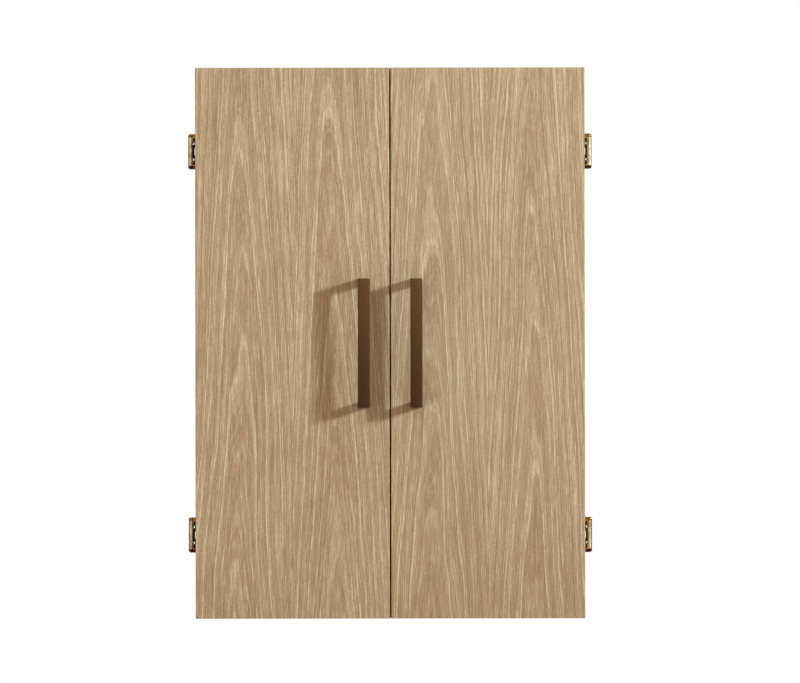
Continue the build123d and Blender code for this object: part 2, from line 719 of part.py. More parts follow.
with BuildPart() as wire_spider:
    with BuildSketch(facing(BOARD_FRONT)):
        for radius in RING_RADII:
            Circle(radius + WIRE / 2)
            Circle(radius - WIRE / 2, mode=Mode.SUBTRACT)
        with PolarLocations((RING_RADII[0] + RING_RADII[-1]) / 2, len(NUMBERS), start_angle=9):
            Rectangle(RING_RADII[0] - RING_RADII[-1], WIRE)
        Circle(INNER_BULL_R + WIRE / 2)
        Circle(INNER_BULL_R - WIRE / 2, mode=Mode.SUBTRACT)
    extrude(amount=WIRE_DEPTH)
save(wire_spider, "wire_spider")

# Numerals drawn with straight strokes on a grid two wide and two high, between two wire hoops
STROKES = {
    "a": ((-1, 1), (1, 1)),
    "b": ((1, 1), (1, 0)),
    "c": ((1, 0), (1, -1)),
    "d": ((-1, -1), (1, -1)),
    "e": ((-1, 0), (-1, -1)),
    "f": ((-1, 1), (-1, 0)),
    "g": ((-1, 0), (1, 0)),
    "m": ((0, 1), (0, -1)),
}
DIGITS = {
    "0": "abcdef",
    "1": "m",
    "2": "abged",
    "3": "abgcd",
    "4": "fgbc",
    "5": "afgcd",
    "6": "afgedc",
    "7": "abc",
    "8": "abcdefg",
    "9": "abcdfg",
}
NUMERAL_R = 209.0
NUMERAL_HALF_HEIGHT = 10.5
NUMERAL_HALF_WIDTH = 3.6
NUMERAL_SPACING = 11.5
NUMERAL_WIRE = 2.0
HOOP_RADII = (221.0, 197.0)

with BuildPart() as number_ring:
    with BuildSketch(facing(BOARD_FRONT)):
        for radius in HOOP_RADII:
            Circle(radius + NUMERAL_WIRE / 2)
            Circle(radius - NUMERAL_WIRE / 2, mode=Mode.SUBTRACT)
        for place, number in enumerate(NUMBERS):
            bearing = 90 - place * 360 / len(NUMBERS)
            middle = Vector(NUMERAL_R, 0).rotate(Axis.Z, bearing)
            digits = str(number)
            for order, digit in enumerate(digits):
                across = (order - (len(digits) - 1) / 2) * NUMERAL_SPACING
                for stroke in DIGITS[digit]:
                    ends = [
                        Vector(across + x * NUMERAL_HALF_WIDTH, y * NUMERAL_HALF_HEIGHT)
                        for x, y in STROKES[stroke]
                    ]
                    span = ends[1] - ends[0]
                    turn = 0 if abs(span.X) > abs(span.Y) else 90
                    stroke_middle = middle + ((ends[0] + ends[1]) / 2).rotate(Axis.Z, bearing - 90)
                    with Locations(Location(stroke_middle, bearing - 90 + turn)):
                        SlotCenterToCenter(span.length, NUMERAL_WIRE)
    extrude(amount=NUMERAL_WIRE)
save(number_ring, "number_ring")

with BuildPart() as hanging_screw:
    with BuildSketch(facing(HANG_HEAD_FROM)):
        Circle(HANG_HEAD_R)
    extrude(amount=HANG_HEAD_TO - HANG_HEAD_FROM)
    with BuildSketch(facing(HANG_HEAD_TO)):
        Circle(HANG_NECK_R)
    extrude(amount=BOARD_BACK + BACKING - HANG_HEAD_TO)
save(hanging_screw, "hanging_screw")

with BuildPart() as spacer_feet:
    with BuildSketch(facing(BACK + LINER + FOOT_GAP)):
        with PolarLocations(FOOT_CIRCLE_R, 3, start_angle=90):
            Circle(FOOT_R)
    extrude(amount=BOARD_BACK - BACK - LINER - FOOT_GAP)
save(spacer_feet, "spacer_feet")
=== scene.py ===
# %% [markdown]
# # A dart board cabinet in limed oak
# The cabinet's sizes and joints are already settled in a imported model. This script loads that model
# as a fixed frame, gives every part its finish, and models in full the pieces whose shape asks for
# more than a plain solid: pulls, wires, darts, mouldings, felt and rubber.
# Everything is in metres. X is to the right, Y goes into the wall, Z is up.

# %% Load the frame
import math

import bmesh
import bpy
from mathutils import Matrix, Vector, noise


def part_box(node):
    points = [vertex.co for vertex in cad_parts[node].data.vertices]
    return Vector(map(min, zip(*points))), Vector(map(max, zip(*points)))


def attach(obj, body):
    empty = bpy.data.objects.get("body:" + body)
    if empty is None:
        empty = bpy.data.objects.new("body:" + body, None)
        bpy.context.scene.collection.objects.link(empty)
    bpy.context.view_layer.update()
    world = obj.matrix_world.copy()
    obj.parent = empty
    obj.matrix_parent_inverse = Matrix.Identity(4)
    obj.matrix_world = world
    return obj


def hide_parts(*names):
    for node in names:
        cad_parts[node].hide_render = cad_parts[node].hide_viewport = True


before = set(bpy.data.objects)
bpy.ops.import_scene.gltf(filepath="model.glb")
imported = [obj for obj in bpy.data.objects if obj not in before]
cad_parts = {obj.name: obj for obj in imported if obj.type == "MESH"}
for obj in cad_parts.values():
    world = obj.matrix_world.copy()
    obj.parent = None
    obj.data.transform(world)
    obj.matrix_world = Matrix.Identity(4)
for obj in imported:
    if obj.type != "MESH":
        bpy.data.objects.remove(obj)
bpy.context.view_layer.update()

# %% [markdown]
# ## Camera
# The cabinet is seen square on from ten metres away, so its sides stay parallel. A long lens far
# back does that. The lens is worked out from how wide the view is at the doors, so the distance can
# be changed without changing how large the cabinet looks.

# %% Camera
MM = 0.001
VIEW_WIDTH = 1150 * MM
VIEW_DISTANCE = 10.0
VIEW_OFFSET = Vector((14.2 * MM, 0, 2.2 * MM))
VIEW_ROLL = math.radians(0.09)

scene = bpy.context.scene


def new_object(name, data):
    """An object in the scene that shows some data."""
    made = bpy.data.objects.new(name, data)
    scene.collection.objects.link(made)
    return made


DOOR_FRONT_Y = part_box("left_door_panel")[0].y
QUARTER_TURN = math.pi / 2
camera_data = bpy.data.cameras.new("camera")
camera_data.sensor_width = 36.0
camera_data.lens = camera_data.sensor_width * VIEW_DISTANCE / VIEW_WIDTH
camera = new_object("camera", camera_data)
camera.location = VIEW_OFFSET + Vector((0, DOOR_FRONT_Y - VIEW_DISTANCE, 0))
camera.rotation_euler = (QUARTER_TURN, VIEW_ROLL, 0)
scene.camera = camera
print("lens", round(camera_data.lens, 1), "mm")

# %% [markdown]
# ## Studio
# The key light comes from the right, a little above, and rakes across the doors at 55 degrees. It is
# small enough to draw the pulls' shadows with a soft edge. A sun lamp keeps it even from door to
# door. A soft box overhead lights the tops, and a wash beside the key, aimed at the upper half and
# soft to its very edge, lets the doors fade towards the bottom. The world gives a warm fill, so the
# shadows stay brown, and it is dimmer behind, which gives metal something dark to reflect. It is
# white only where the camera looks straight at it.

# %% Lamps
KEY_FROM = Vector((1.43, -1.0, 0.46))
KEY = {"angle": math.radians(6), "color": (0.94, 0.98, 1.0)}
SOFT_BOX = {"shape": "RECTANGLE", "size": 2.0, "size_y": 0.9}
WASH = {"spot_size": math.radians(24.8), "spot_blend": 1.0, "shadow_soft_size": 0.19}
WASH["color"] = (0.72, 0.87, 1.0)
NEAR_TOP = (0, -0.1, 0.1)
UPPER_HALF = (0, -0.1, 0.16)


def lamp(name, kind, energy, location, at, settings):
    """A lamp aimed at a point."""
    data = bpy.data.lights.new(name, kind)
    data.energy = energy
    for setting, value in settings.items():
        setattr(data, setting, value)
    made = new_object(name, data)
    made.location = location
    made.rotation_euler = (Vector(at) - made.location).to_track_quat("-Z", "Y").to_euler()


lamp("key", "SUN", 2.26, KEY_FROM * 3, (0, 0, 0), KEY)
lamp("overhead", "AREA", 9, (0.1, -1.3, 1.7), NEAR_TOP, SOFT_BOX)
lamp("wash", "SPOT", 417, KEY_FROM * 2, UPPER_HALF, WASH)
print("key light from", tuple(KEY_FROM))

# %% [markdown]
# ### Shader nodes and the world
# A shader is a tree of nodes, and one short helper makes nearly all of them and joins each one to the
# nodes before it. The world is the first tree: a colour for the front, a colour for behind, and white
# for the rays that come straight from the camera.

# %% Shader helper and world
def node(tree, kind, inputs=None, **settings):
    """A shader node. Its inputs are plain values, or the outputs of other nodes."""
    made = tree.nodes.new("ShaderNode" + kind)
    for name, value in settings.items():
        setattr(made, name, value)
    for key, value in (inputs or {}).items():
        if isinstance(value, bpy.types.NodeSocket):
            tree.links.new(value, made.inputs[key])
        else:
            made.inputs[key].default_value = value
    return made


FILL_FRONT = (1.0, 0.72, 0.575, 1)
FILL_BEHIND = (0.50, 0.46, 0.43, 1)
WHITE = (1, 1, 1, 1)
FADE_FROM, FADE_TO = -0.8, 0.1

scene.view_settings.view_transform = "Standard"
world = bpy.data.worlds.new("studio")
scene.world = world
world.use_nodes = True
world.node_tree.nodes.clear()
sky = world.node_tree
toward = node(sky, "TexCoord").outputs["Generated"]
depth_way = node(sky, "SeparateXYZ", {0: toward}).outputs["Y"]
behind = node(sky, "MapRange", {"Value": depth_way, "From Min": FADE_FROM, "From Max": FADE_TO})
fill_inputs = {"Factor": behind.outputs["Result"], 6: FILL_FRONT, 7: FILL_BEHIND}
fill = node(sky, "Mix", fill_inputs, data_type="RGBA").outputs[2]
seen = node(sky, "LightPath").outputs["Is Camera Ray"]
backdrop = node(sky, "Mix", {"Factor": seen, 6: fill, 7: WHITE}, data_type="RGBA").outputs[2]
glow = node(sky, "Background", {"Color": backdrop})
node(sky, "OutputWorld", {"Surface": glow.outputs[0]})
print("fill in front", FILL_FRONT[:3], "behind", FILL_BEHIND[:3])

# %% [markdown]
# ## Shared shader effects
# An effect that several finishes use is a node group with its own inputs. Each group gives out only
# colours, masks and heights that change over the surface, and each material feeds them to its own
# Principled BSDF.

# %% Helpers for shader groups
def new_group(name, inputs, outputs):
    """An empty shader group with named sockets, and its input and output sockets."""
    group = bpy.data.node_groups.new(name, "ShaderNodeTree")
    for label, kind, value in inputs:
        socket = group.interface.new_socket(label, in_out="INPUT", socket_type=f"NodeSocket{kind}")
        if value is not None:
            socket.default_value = value
    for label, kind in outputs:
        group.interface.new_socket(label, in_out="OUTPUT", socket_type=f"NodeSocket{kind}")
    return group, group.nodes.new("NodeGroupInput").outputs, group.nodes.new("NodeGroupOutput").inputs


def tree_of(*values):
    """The node tree of the first socket among some values."""
    return next(value.id_data for value in values if isinstance(value, bpy.types.NodeSocket))


def sums(operation, a, b=0.0, c=0.0):
    """One step of arithmetic in a shader."""
    return node(tree_of(a, b, c), "Math", {0: a, 1: b, 2: c}, operation=operation).outputs[0]


def times(a, b):
    """Two values multiplied."""
    return sums("MULTIPLY", a, b)


def minus(a, b):
    """The first value less the second."""
    return sums("SUBTRACT", a, b)


def absolute(value):
    """A value without its sign."""
    return sums("ABSOLUTE", value)


def add_share(total, layer, share):
    """A layer of a pattern, times its share, on top of the total so far."""
    return sums("MULTIPLY_ADD", layer, share, total)


def mixture(first, second, share):
    """A share of one pattern, and the rest of another."""
    return add_share(times(first, share), second, 1 - share)


def between(value, low, high, to_low=0.0, to_high=1.0):
    """A soft step: to_low below low, to_high above high."""
    inputs = {"Value": value, "From Min": low, "From Max": high, "To Min": to_low, "To Max": to_high}
    return node(value.id_data, "MapRange", inputs, interpolation_type="SMOOTHSTEP").outputs["Result"]


def blend_colour(factor, low, high):
    """A colour between two others."""
    return node(factor.id_data, "Mix", {"Factor": factor, 6: low, 7: high}, data_type="RGBA").outputs[2]


def axes_of(place):
    """The X, Y and Z of a place."""
    return node(place.id_data, "SeparateXYZ", {0: place}).outputs


def stretched_noise(parts, scales, detail=2.0, roughness=0.5):
    """Noise on separate coordinates, each stretched to its own size in metres."""
    lengths = [sums("DIVIDE", part, scale) for part, scale in zip(parts, scales)]
    place = node(tree_of(*lengths), "CombineXYZ", dict(enumerate(lengths))).outputs[0]
    inputs = {"Vector": place, "Scale": 1.0, "Detail": detail, "Roughness": roughness}
    return node(place.id_data, "TexNoise", inputs).outputs["Fac"]


def line_noise(value, detail=1.0):
    """Noise along one number, for rings and lines that follow it."""
    inputs = {"W": value, "Scale": 1.0, "Detail": detail}
    return node(value.id_data, "TexNoise", inputs, noise_dimensions="1D").outputs["Fac"]


print("helpers for shaders ready")

# %% [markdown]
# ### Limed oak
# The doors are plain-sawn oak veneer, laid in upright leaves about 140 mm wide. Each leaf shows
# nested arches that point up and straighten towards its edges. Lime rubbed into the open pores turns
# the early wood of each ring into pale streaks made of short dashes.
#
# Bands from a Wave texture would be too regular, and stretched noise alone has no arches. So the
# group works out a ring number for each place: the distance from the heart of the log, which lies a
# little behind the leaf's middle, plus a slow rise with the height. Its contours are the arches.
# Noise read along that number gives uneven rings, and short upright dashes, as real pores are, show
# mostly inside the early wood.

# %% The limed oak group: ring number
LEAF_WIDTH = 140.5 * MM
RING_WIDTH = 4.3 * MM
RING_RISE = 84 * MM
HEART_DEPTH = 9 * MM
HEART_SPREAD = 12 * MM
SLICE = 19 * MM
DEPTH_LEAN = 0.83
SEED_STEP = 7.3
WANDER, WANDER_LENGTH = 34 * MM, 0.42
RIPPLE, RIPPLE_SIZE = 6 * MM, (0.03, 1.0, 0.24)
WARP, WARP_SIZE = 2.4, (0.022, 1, 0.24)
RING_JUMP = 40.0

oak_group, oak_in, oak_out = new_group(
    "limed oak",
    (("Place", "Vector", None), ("Seed", "Float", 0.0)),
    (("Colour", "Color"), ("Roughness", "Float"), ("Height", "Float")),
)
parts = axes_of(oak_in["Place"])
along = parts["Z"]
across = sums("MULTIPLY_ADD", parts["Y"], DEPTH_LEAN, parts["X"])

leaf_count = sums("FLOOR", sums("DIVIDE", parts["X"], LEAF_WIDTH))
leaf_seed = sums("ADD", leaf_count, oak_in["Seed"])
chance = node(oak_group, "TexWhiteNoise", {"W": leaf_seed}, noise_dimensions="1D").outputs["Color"]
chances = axes_of(chance)
leaf_middle = times(sums("ADD", leaf_count, 0.5), LEAF_WIDTH)
off_middle = minus(parts["X"], leaf_middle)
off_middle = add_share(off_middle, chances[0], HEART_SPREAD)

leaf_line = times(leaf_seed, SEED_STEP)
grainy = (across, leaf_line, along)
wander = stretched_noise((leaf_line, leaf_line, along), (1.0, 1.0, WANDER_LENGTH), detail=1.0)
off_middle = add_share(off_middle, minus(wander, 0.5), WANDER)
off_middle = add_share(off_middle, stretched_noise(grainy, RIPPLE_SIZE, detail=1.0), RIPPLE)

heart = sums("MULTIPLY_ADD", chances[2], HEART_SPREAD, HEART_DEPTH)
heart = sums("ADD", heart, sums("PINGPONG", parts["Y"], SLICE))
from_heart = sums("SQRT", sums("MULTIPLY_ADD", off_middle, off_middle, times(heart, heart)))
ring = sums("DIVIDE", from_heart, RING_WIDTH)
ring = add_share(ring, along, 1 / RING_RISE)
ring = add_share(ring, chances[1], RING_JUMP)
ring = add_share(ring, stretched_noise(grainy, WARP_SIZE, detail=2.0), WARP)
print("ring number", len(oak_group.nodes), "nodes")

# %% The limed oak group: tone, pores and flecks
EARLY_WOOD_RATE, COARSE_RATE, FINE_RATE, FINE_START = 0.8, 2.9, 5.3, 31.7
TONE_START, LIMED_SHARE = -0.125, 0.38
PORE_BROWN = (0.12, 0.07, 0.035, 1)
OAK_TONES = (
    (0.40, (0.190, 0.127, 0.061)),
    (0.60, (0.255, 0.187, 0.100)),
    (0.78, (0.316, 0.252, 0.148)),
    (1.0, (0.430, 0.394, 0.268)),
)


def grain(width, length, detail=1.0, roughness=0.5):
    """Noise drawn out along the grain, with its width and length in millimetres."""
    return stretched_noise(grainy, (width * MM, 1.0, length * MM), detail, roughness)


early_wood = between(line_noise(times(ring, EARLY_WOOD_RATE), 2.0), 0.47, 0.66)
coarse_lines = line_noise(times(ring, COARSE_RATE))
fine_lines = line_noise(sums("MULTIPLY_ADD", ring, FINE_RATE, FINE_START))
ring_lines = between(mixture(coarse_lines, fine_lines, 0.55), 0.40, 0.64)
dashes = between(grain(1.7, 24, 2.0, 0.6), 0.38, 0.62)
flat_sawn = between(absolute(off_middle), 6 * MM, 26 * MM, 0.45, 1.0)
limed = times(ring_lines, sums("MULTIPLY_ADD", dashes, 0.65, 0.35))
limed = node(oak_group, "Mix", {"Factor": flat_sawn, 2: times(dashes, 0.5), 3: limed}).outputs[0]

fibres = grain(1.3, 44, 1.0, 0.6)
streaks = grain(3.6, 90, 2.0, 0.55)
grit = grain(1.2, 3.4)
cloud = grain(35, 180)
tone = sums("MULTIPLY_ADD", limed, LIMED_SHARE, TONE_START)
for layer, share in ((early_wood, 0.16), (fibres, 0.40), (streaks, 0.28), (cloud, 0.20), (grit, 0.36)):
    tone = add_share(tone, layer, share)

ramp = node(oak_group, "ValToRGB", {"Fac": tone})
while len(ramp.color_ramp.elements) < len(OAK_TONES):
    ramp.color_ramp.elements.new(0.5)
for stop, (at, colour) in zip(ramp.color_ramp.elements, OAK_TONES):
    stop.position = at
    stop.color = (*colour, 1)
pores = between(grain(0.8, 8), 0.60, 0.70)
flecks = between(grain(1.2, 11), 0.685, 0.76)
darkness = add_share(times(pores, 0.12), flecks, 0.34)
pored = blend_colour(darkness, ramp.outputs["Color"], PORE_BROWN)
oak_group.links.new(pored, oak_out["Colour"])
oak_group.links.new(between(tone, 0.4, 1.0, 0.5, 0.68), oak_out["Roughness"])
oak_group.links.new(add_share(tone, pores, -0.4), oak_out["Height"])
print("limed oak group", len(oak_group.nodes), "nodes")

# %% [markdown]
# ## Wood finishes
# One group serves every oak part. The doors and case sides have their grain upright, the top and
# bottom have it level, so only the Mapping node in front of the group differs. A Bevel node rounds
# the light on the crisp edges of the CAD solids, as a pass of fine paper would.

# %% Oak materials
def new_material(name, **values):
    """An empty node material, and its tree and Principled BSDF, with values set on its own sockets."""
    material = bpy.data.materials.new(name)
    material.use_nodes = True
    shader = material.node_tree.nodes["Principled BSDF"]
    for socket, value in values.items():
        shader.inputs[socket.replace("_", " ")].default_value = value
    return material, material.node_tree, shader


def paint(shader, colour, roughness):
    """Feed a colour and a roughness to a Principled BSDF."""
    shader.id_data.links.new(colour, shader.inputs["Base Color"])
    shader.id_data.links.new(roughness, shader.inputs["Roughness"])


def surface(shader, height, distance, strength=1.0, rounding=0.0):
    """Feed a height to the shader's normal through a Bump node, over edges rounded by a radius."""
    tree = shader.id_data
    inputs = {"Height": height, "Distance": distance, "Strength": strength}
    if rounding:
        inputs["Normal"] = node(tree, "Bevel", {"Radius": rounding}, samples=4).outputs[0]
    tree.links.new(node(tree, "Bump", inputs).outputs[0], shader.inputs["Normal"])


def object_place(tree, turn=(0, 0, 0)):
    """Object coordinates, turned."""
    coordinates = node(tree, "TexCoord").outputs["Object"]
    return node(tree, "Mapping", {"Vector": coordinates, "Rotation": turn}).outputs[0]


def placed_group(group, place, **values):
    """A shared group in a material, with its own values."""
    return node(place.id_data, "Group", {"Place": place, **values}, node_tree=group).outputs


def oak_material(name, turn=(0, 0, 0), seed=0.0):
    """Limed oak with its grain along the turned Z axis."""
    material, tree, shader = new_material(name, Specular_IOR_Level=0.35)
    oak = placed_group(oak_group, object_place(tree, turn), Seed=seed)
    paint(shader, oak["Colour"], oak["Roughness"])
    surface(shader, oak["Height"], 0.25 * MM, 0.6, rounding=0.8 * MM)
    return material


def finish_node(names, material):
    """Give CAD nodes a material."""
    for name in names:
        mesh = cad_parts[name].data
        mesh.materials.clear()
        mesh.materials.append(material)


HANDS = ("left", "right")
door_oak = oak_material("oak, doors", seed=3.0)
side_oak = oak_material("oak, case sides", (0, 0, QUARTER_TURN), seed=11.0)
level_oak = oak_material("oak, level parts", (QUARTER_TURN, QUARTER_TURN, 0), seed=23.0)
finish_node([f"{hand}_door_panel" for hand in HANDS], door_oak)
finish_node([f"{hand}_side_panel" for hand in HANDS], side_oak)
finish_node(["top_panel", "bottom_panel", "upper_hanging_rail", "lower_hanging_rail"], level_oak)
finish_node([f"{hand}_dart_rack" for hand in HANDS], level_oak)
print("oak on", [o.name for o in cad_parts.values() if o.data.materials[0] == door_oak])

# %% [markdown]
# ## Scratches, speckle, and edge wear and highlights
# Three small groups are placed in the finishes that follow. Fine scratches run along one axis of a
# metal piece. Speckle is the soft mottling of rubber, plastic, felt or plaster. The edge mask, for the
# pulls, compares the true normal with one rounded over an edge: they differ only near edges, where
# hands and cloths rub and where edges catch the light, so the pulls use it for wear and painted
# highlights.

# %% Scratches, speckle, and edge wear and highlight groups
scratch_group, scratch_in, scratch_out = new_group(
    "fine scratches",
    (("Place", "Vector", None), ("Width", "Float", 0.4 * MM), ("Length", "Float", 12 * MM)),
    (("Mask", "Float"),),
)
scratch_sizes = (scratch_in["Width"], scratch_in["Width"], scratch_in["Length"])
scratches = stretched_noise(axes_of(scratch_in["Place"]), scratch_sizes, 3.0, 0.65)
scratch_group.links.new(between(scratches, 0.35, 0.7), scratch_out["Mask"])

speckle_group, speckle_in, speckle_out = new_group(
    "speckle",
    (("Place", "Vector", None), ("Grain", "Float", 1 * MM)),
    (("Fine", "Float"), ("Broad", "Float")),
)
for label, size, detail in (("Fine", 1.0, 3.0), ("Broad", 22.0, 2.0)):
    scale = sums("DIVIDE", 1.0, times(speckle_in["Grain"], size))
    inputs = {"Vector": speckle_in["Place"], "Scale": scale, "Detail": detail, "Roughness": 0.6}
    blotches = node(speckle_group, "TexNoise", inputs).outputs["Fac"]
    speckle_group.links.new(between(blotches, 0.3, 0.7), speckle_out[label])

# An edge mask in patches. On the pulls it gives edge wear and painted highlights.
edge_wear_highlight_group, edge_wear_highlight_in, edge_wear_highlight_out = new_group(
    "edge wear and highlight", (("Place", "Vector", None), ("Grain", "Float", 3 * MM)), (("Mask", "Float"),)
)
rounded = node(edge_wear_highlight_group, "Bevel", {"Radius": 0.9 * MM}, samples=6).outputs[0]
flat = node(edge_wear_highlight_group, "NewGeometry").outputs["Normal"]
likeness = node(edge_wear_highlight_group, "VectorMath", {0: rounded, 1: flat}, operation="DOT_PRODUCT").outputs["Value"]
on_edge = between(likeness, 0.98, 0.8)
edge_patch_scale = sums("DIVIDE", 1.0, edge_wear_highlight_in["Grain"])
edge_patch_inputs = {"Vector": edge_wear_highlight_in["Place"], "Scale": edge_patch_scale, "Detail": 3.0}
patchy = between(node(edge_wear_highlight_group, "TexNoise", edge_patch_inputs).outputs["Fac"], 0.3, 0.6)
edge_wear_highlight_group.links.new(times(on_edge, patchy), edge_wear_highlight_out["Mask"])
print("groups", [g.name for g in bpy.data.node_groups])

# %% [markdown]
# ### Plain finishes and metals
# Most of the small parts need one of two finishes. One is a speckled tone between two colours, for
# plastic, rubber and plaster. The other is metal with fine scratches and a mottled tone.

# %% Helpers for finishes
def plain_finish(name, dark, light, roughness, grain, bump=0.1 * MM, rounding=0.0):
    """A speckled finish between two colours, for plastics, rubber, plaster and the like."""
    material, tree, shader = new_material(name)
    speckle = placed_group(speckle_group, object_place(tree), Grain=grain)
    mixed = mixture(speckle["Fine"], speckle["Broad"], 0.5)
    paint(shader, blend_colour(mixed, (*dark, 1), (*light, 1)), between(mixed, 0, 1, *roughness))
    surface(shader, speckle["Fine"], bump, 0.7, rounding)
    return material


def metal_finish(name, dark, light, roughness, turn=(0, 0, 0), length=12 * MM, rounding=0.4 * MM):
    """A metal with fine scratches along the turned Z axis, and a mottled tone."""
    material, tree, shader = new_material(name, Metallic=1.0)
    place = object_place(tree, turn)
    scratched = placed_group(scratch_group, place, Length=length)["Mask"]
    mottle = placed_group(speckle_group, place, Grain=0.8 * MM)["Broad"]
    mixed = mixture(scratched, mottle, 0.45)
    colour = blend_colour(mixed, (*dark, 1), (*light, 1))
    paint(shader, colour, between(scratched, 0, 1, *roughness))
    surface(shader, scratched, 0.02 * MM, 0.5, rounding)
    return material


# %% [markdown]
# ## Metal, plastic and rubber finishes
# The hinges are brass, and the barrels are polished. Light and shade are painted into the colour: the
# upper shoulders of the leaves are painted lighter, as lit from above; the lower shoulders and the outer
# rim of the barrels are painted dark brown, as shade and dark reflection; and the gap between barrel
# and door is painted near black, as shade. These painted tones are placed by how far a spot lies from
# the door's edge and from the hinge's middle.
# The screws, the bracket and the strike plates are zinc plated, a cool grey with a faint yellow mottle.

# %% Metals
leaf_low, leaf_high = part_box("left_upper_case_leaf")
HINGE_Z = (leaf_low.z + leaf_high.z) / 2
DOOR_EDGE_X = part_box("right_door_panel")[1].x
GAP_WIDTH = 4.3 * MM
SHOULDER = 5.6 * MM
HINGE_HALF = 25.4 * MM
BARREL_RIM = 8.9 * MM
BRASS_DULL = (0.33, 0.265, 0.125, 1)
BRASS_BRIGHT = (0.92, 0.83, 0.55, 1)
# Painted light and shade: a lit gilt for the upper shoulders, and a shaded dark brown for the lower
# shoulders and the barrel rims.
BRASS_LIT_SHOULDER = (0.24, 0.15, 0.045, 1)
BRASS_SHADED_BROWN = (0.050, 0.020, 0.009, 1)
# Painted near-black shade for the leaf strip between barrel and door.
GAP_SHADE = (0.010, 0.006, 0.005, 1)


def aged_brass_material():
    """Polished barrels; painted light on upper shoulders, painted shade below, on the rims and by the
    door.
    """
    material, tree, shader = new_material("brass with painted light and shade", Metallic=1.0)
    place = object_place(tree)
    axes = axes_of(place)
    out_from_door = minus(absolute(axes["X"]), DOOR_EDGE_X)
    hinge_middle = times(sums("SIGN", axes["Z"]), HINGE_Z)
    up = minus(axes["Z"], hinge_middle)
    from_end = minus(HINGE_HALF, absolute(up))
    scratched = placed_group(scratch_group, place, Width=0.3 * MM, Length=6 * MM)["Mask"]
    mottle = placed_group(speckle_group, place, Grain=0.5 * MM)
    polish = mixture(scratched, mottle["Broad"], 0.4)
    colour = blend_colour(polish, BRASS_DULL, BRASS_BRIGHT)
    # Painted light and shade: the upper shoulder is painted lighter, as lit from above, and the lower one
    # dark brown, as shaded.
    shoulder = blend_colour(between(up, -1 * MM, 1 * MM), BRASS_SHADED_BROWN, BRASS_LIT_SHOULDER)
    past_door = between(out_from_door, -1 * MM, -0.2 * MM)
    near_end = times(between(from_end, SHOULDER, SHOULDER - 1 * MM), past_door)
    colour = blend_colour(near_end, colour, shoulder)
    # Painted shade: the leaf strip between the barrel and the door's edge is painted near black, standing
    # in for the shade and dark reflection in that recess.
    before_barrel = between(out_from_door, GAP_WIDTH, GAP_WIDTH - 0.7 * MM)
    in_gap = times(before_barrel, between(out_from_door, -0.2 * MM, 0.1 * MM))
    off_shoulders = between(from_end, SHOULDER - 0.6 * MM, SHOULDER + 0.6 * MM)
    gap_shade = times(in_gap, off_shoulders)
    # Painted shade: the outer rim of each barrel is darkened towards brown, standing in for the dark
    # reflection at the barrel's edge.
    on_rim = between(out_from_door, BARREL_RIM, BARREL_RIM + 0.8 * MM)
    colour = blend_colour(times(on_rim, 0.8), colour, BRASS_SHADED_BROWN)
    colour = blend_colour(times(gap_shade, 0.96), colour, GAP_SHADE)
    gloss = between(scratched, 0, 1, 0.12, 0.26)
    paint(shader, colour, add_share(gloss, gap_shade, 0.5))
    surface(shader, scratched, 0.02 * MM, 0.5, 0.4 * MM)
    return material


brass = aged_brass_material()
ZINC = {"dark": (0.40, 0.40, 0.39), "light": (0.62, 0.61, 0.58), "roughness": (0.28, 0.48)}
zinc = metal_finish("zinc plate", **ZINC)
BRUSHED = {"dark": (0.30, 0.30, 0.31), "light": (0.52, 0.52, 0.53), "roughness": (0.25, 0.45)}
band_steel = metal_finish("brushed band", **BRUSHED, turn=(0, QUARTER_TURN, 0), length=40 * MM)
DRAWN_WIRE = {"dark": (0.60, 0.62, 0.64), "light": (0.85, 0.87, 0.88), "roughness": (0.28, 0.42)}
drawn_wire = metal_finish("drawn wire", **DRAWN_WIRE, rounding=0.0)
magnet_steel = metal_finish("nickel plate", (0.36, 0.34, 0.31), (0.58, 0.55, 0.50), (0.14, 0.3))

LEVELS = ("upper", "lower")
LEAVES = [f"{hand}_{level}_{leaf}_leaf" for hand in HANDS for level in LEVELS for leaf in ("case", "door")]
finish_node(LEAVES + ["hinge_pins", "case_leaf_screws"], brass)
finish_node([f"{hand}_door_leaf_screws" for hand in HANDS], brass)
zinc_nodes = ["back_panel_screws", "hanger_bracket", "hanger_bracket_screws", "catch_screws"]
zinc_nodes.append("hanging_screw")
for hand in HANDS:
    door_zinc = ("pull_screws", "rack_screws", "strike_plate", "strike_screws")
    zinc_nodes += [f"{hand}_{piece}" for piece in door_zinc]
finish_node(zinc_nodes, zinc)
finish_node(["catch_magnets"], magnet_steel)
finish_node(["board_band"], band_steel)
print("zinc on", len(zinc_nodes), "nodes")

# %% [markdown]
# ### Plastic, rubber and the floor
# These are plain finishes with their own colours and grain. The floor is pale plaster, a long way
# below. It belongs to the studio and is no part of the cabinet.

# %% Plastic, rubber and the floor
MOULDED = {"roughness": (0.35, 0.5), "grain": 0.6 * MM, "bump": 0.03 * MM, "rounding": 0.5 * MM}
black_plastic = plain_finish("moulded plastic", (0.012, 0.012, 0.012), (0.03, 0.03, 0.03), **MOULDED)
rubber = plain_finish("black rubber", (0.012, 0.012, 0.012), (0.028, 0.027, 0.026), (0.7, 0.85), 0.5 * MM)
floor_finish = plain_finish("pale plaster", (0.70, 0.73, 0.75), (0.77, 0.80, 0.82), (0.75, 0.9), 4 * MM)
finish_node(["catch_housings"], black_plastic)

FLOOR_Z = -1.73
FLOOR_REACH = 1.6


def mesh_from(name, bm):
    """A mesh with the shape of a bmesh, which is freed."""
    mesh = bpy.data.meshes.new(name)
    bm.to_mesh(mesh)
    bm.free()
    return mesh


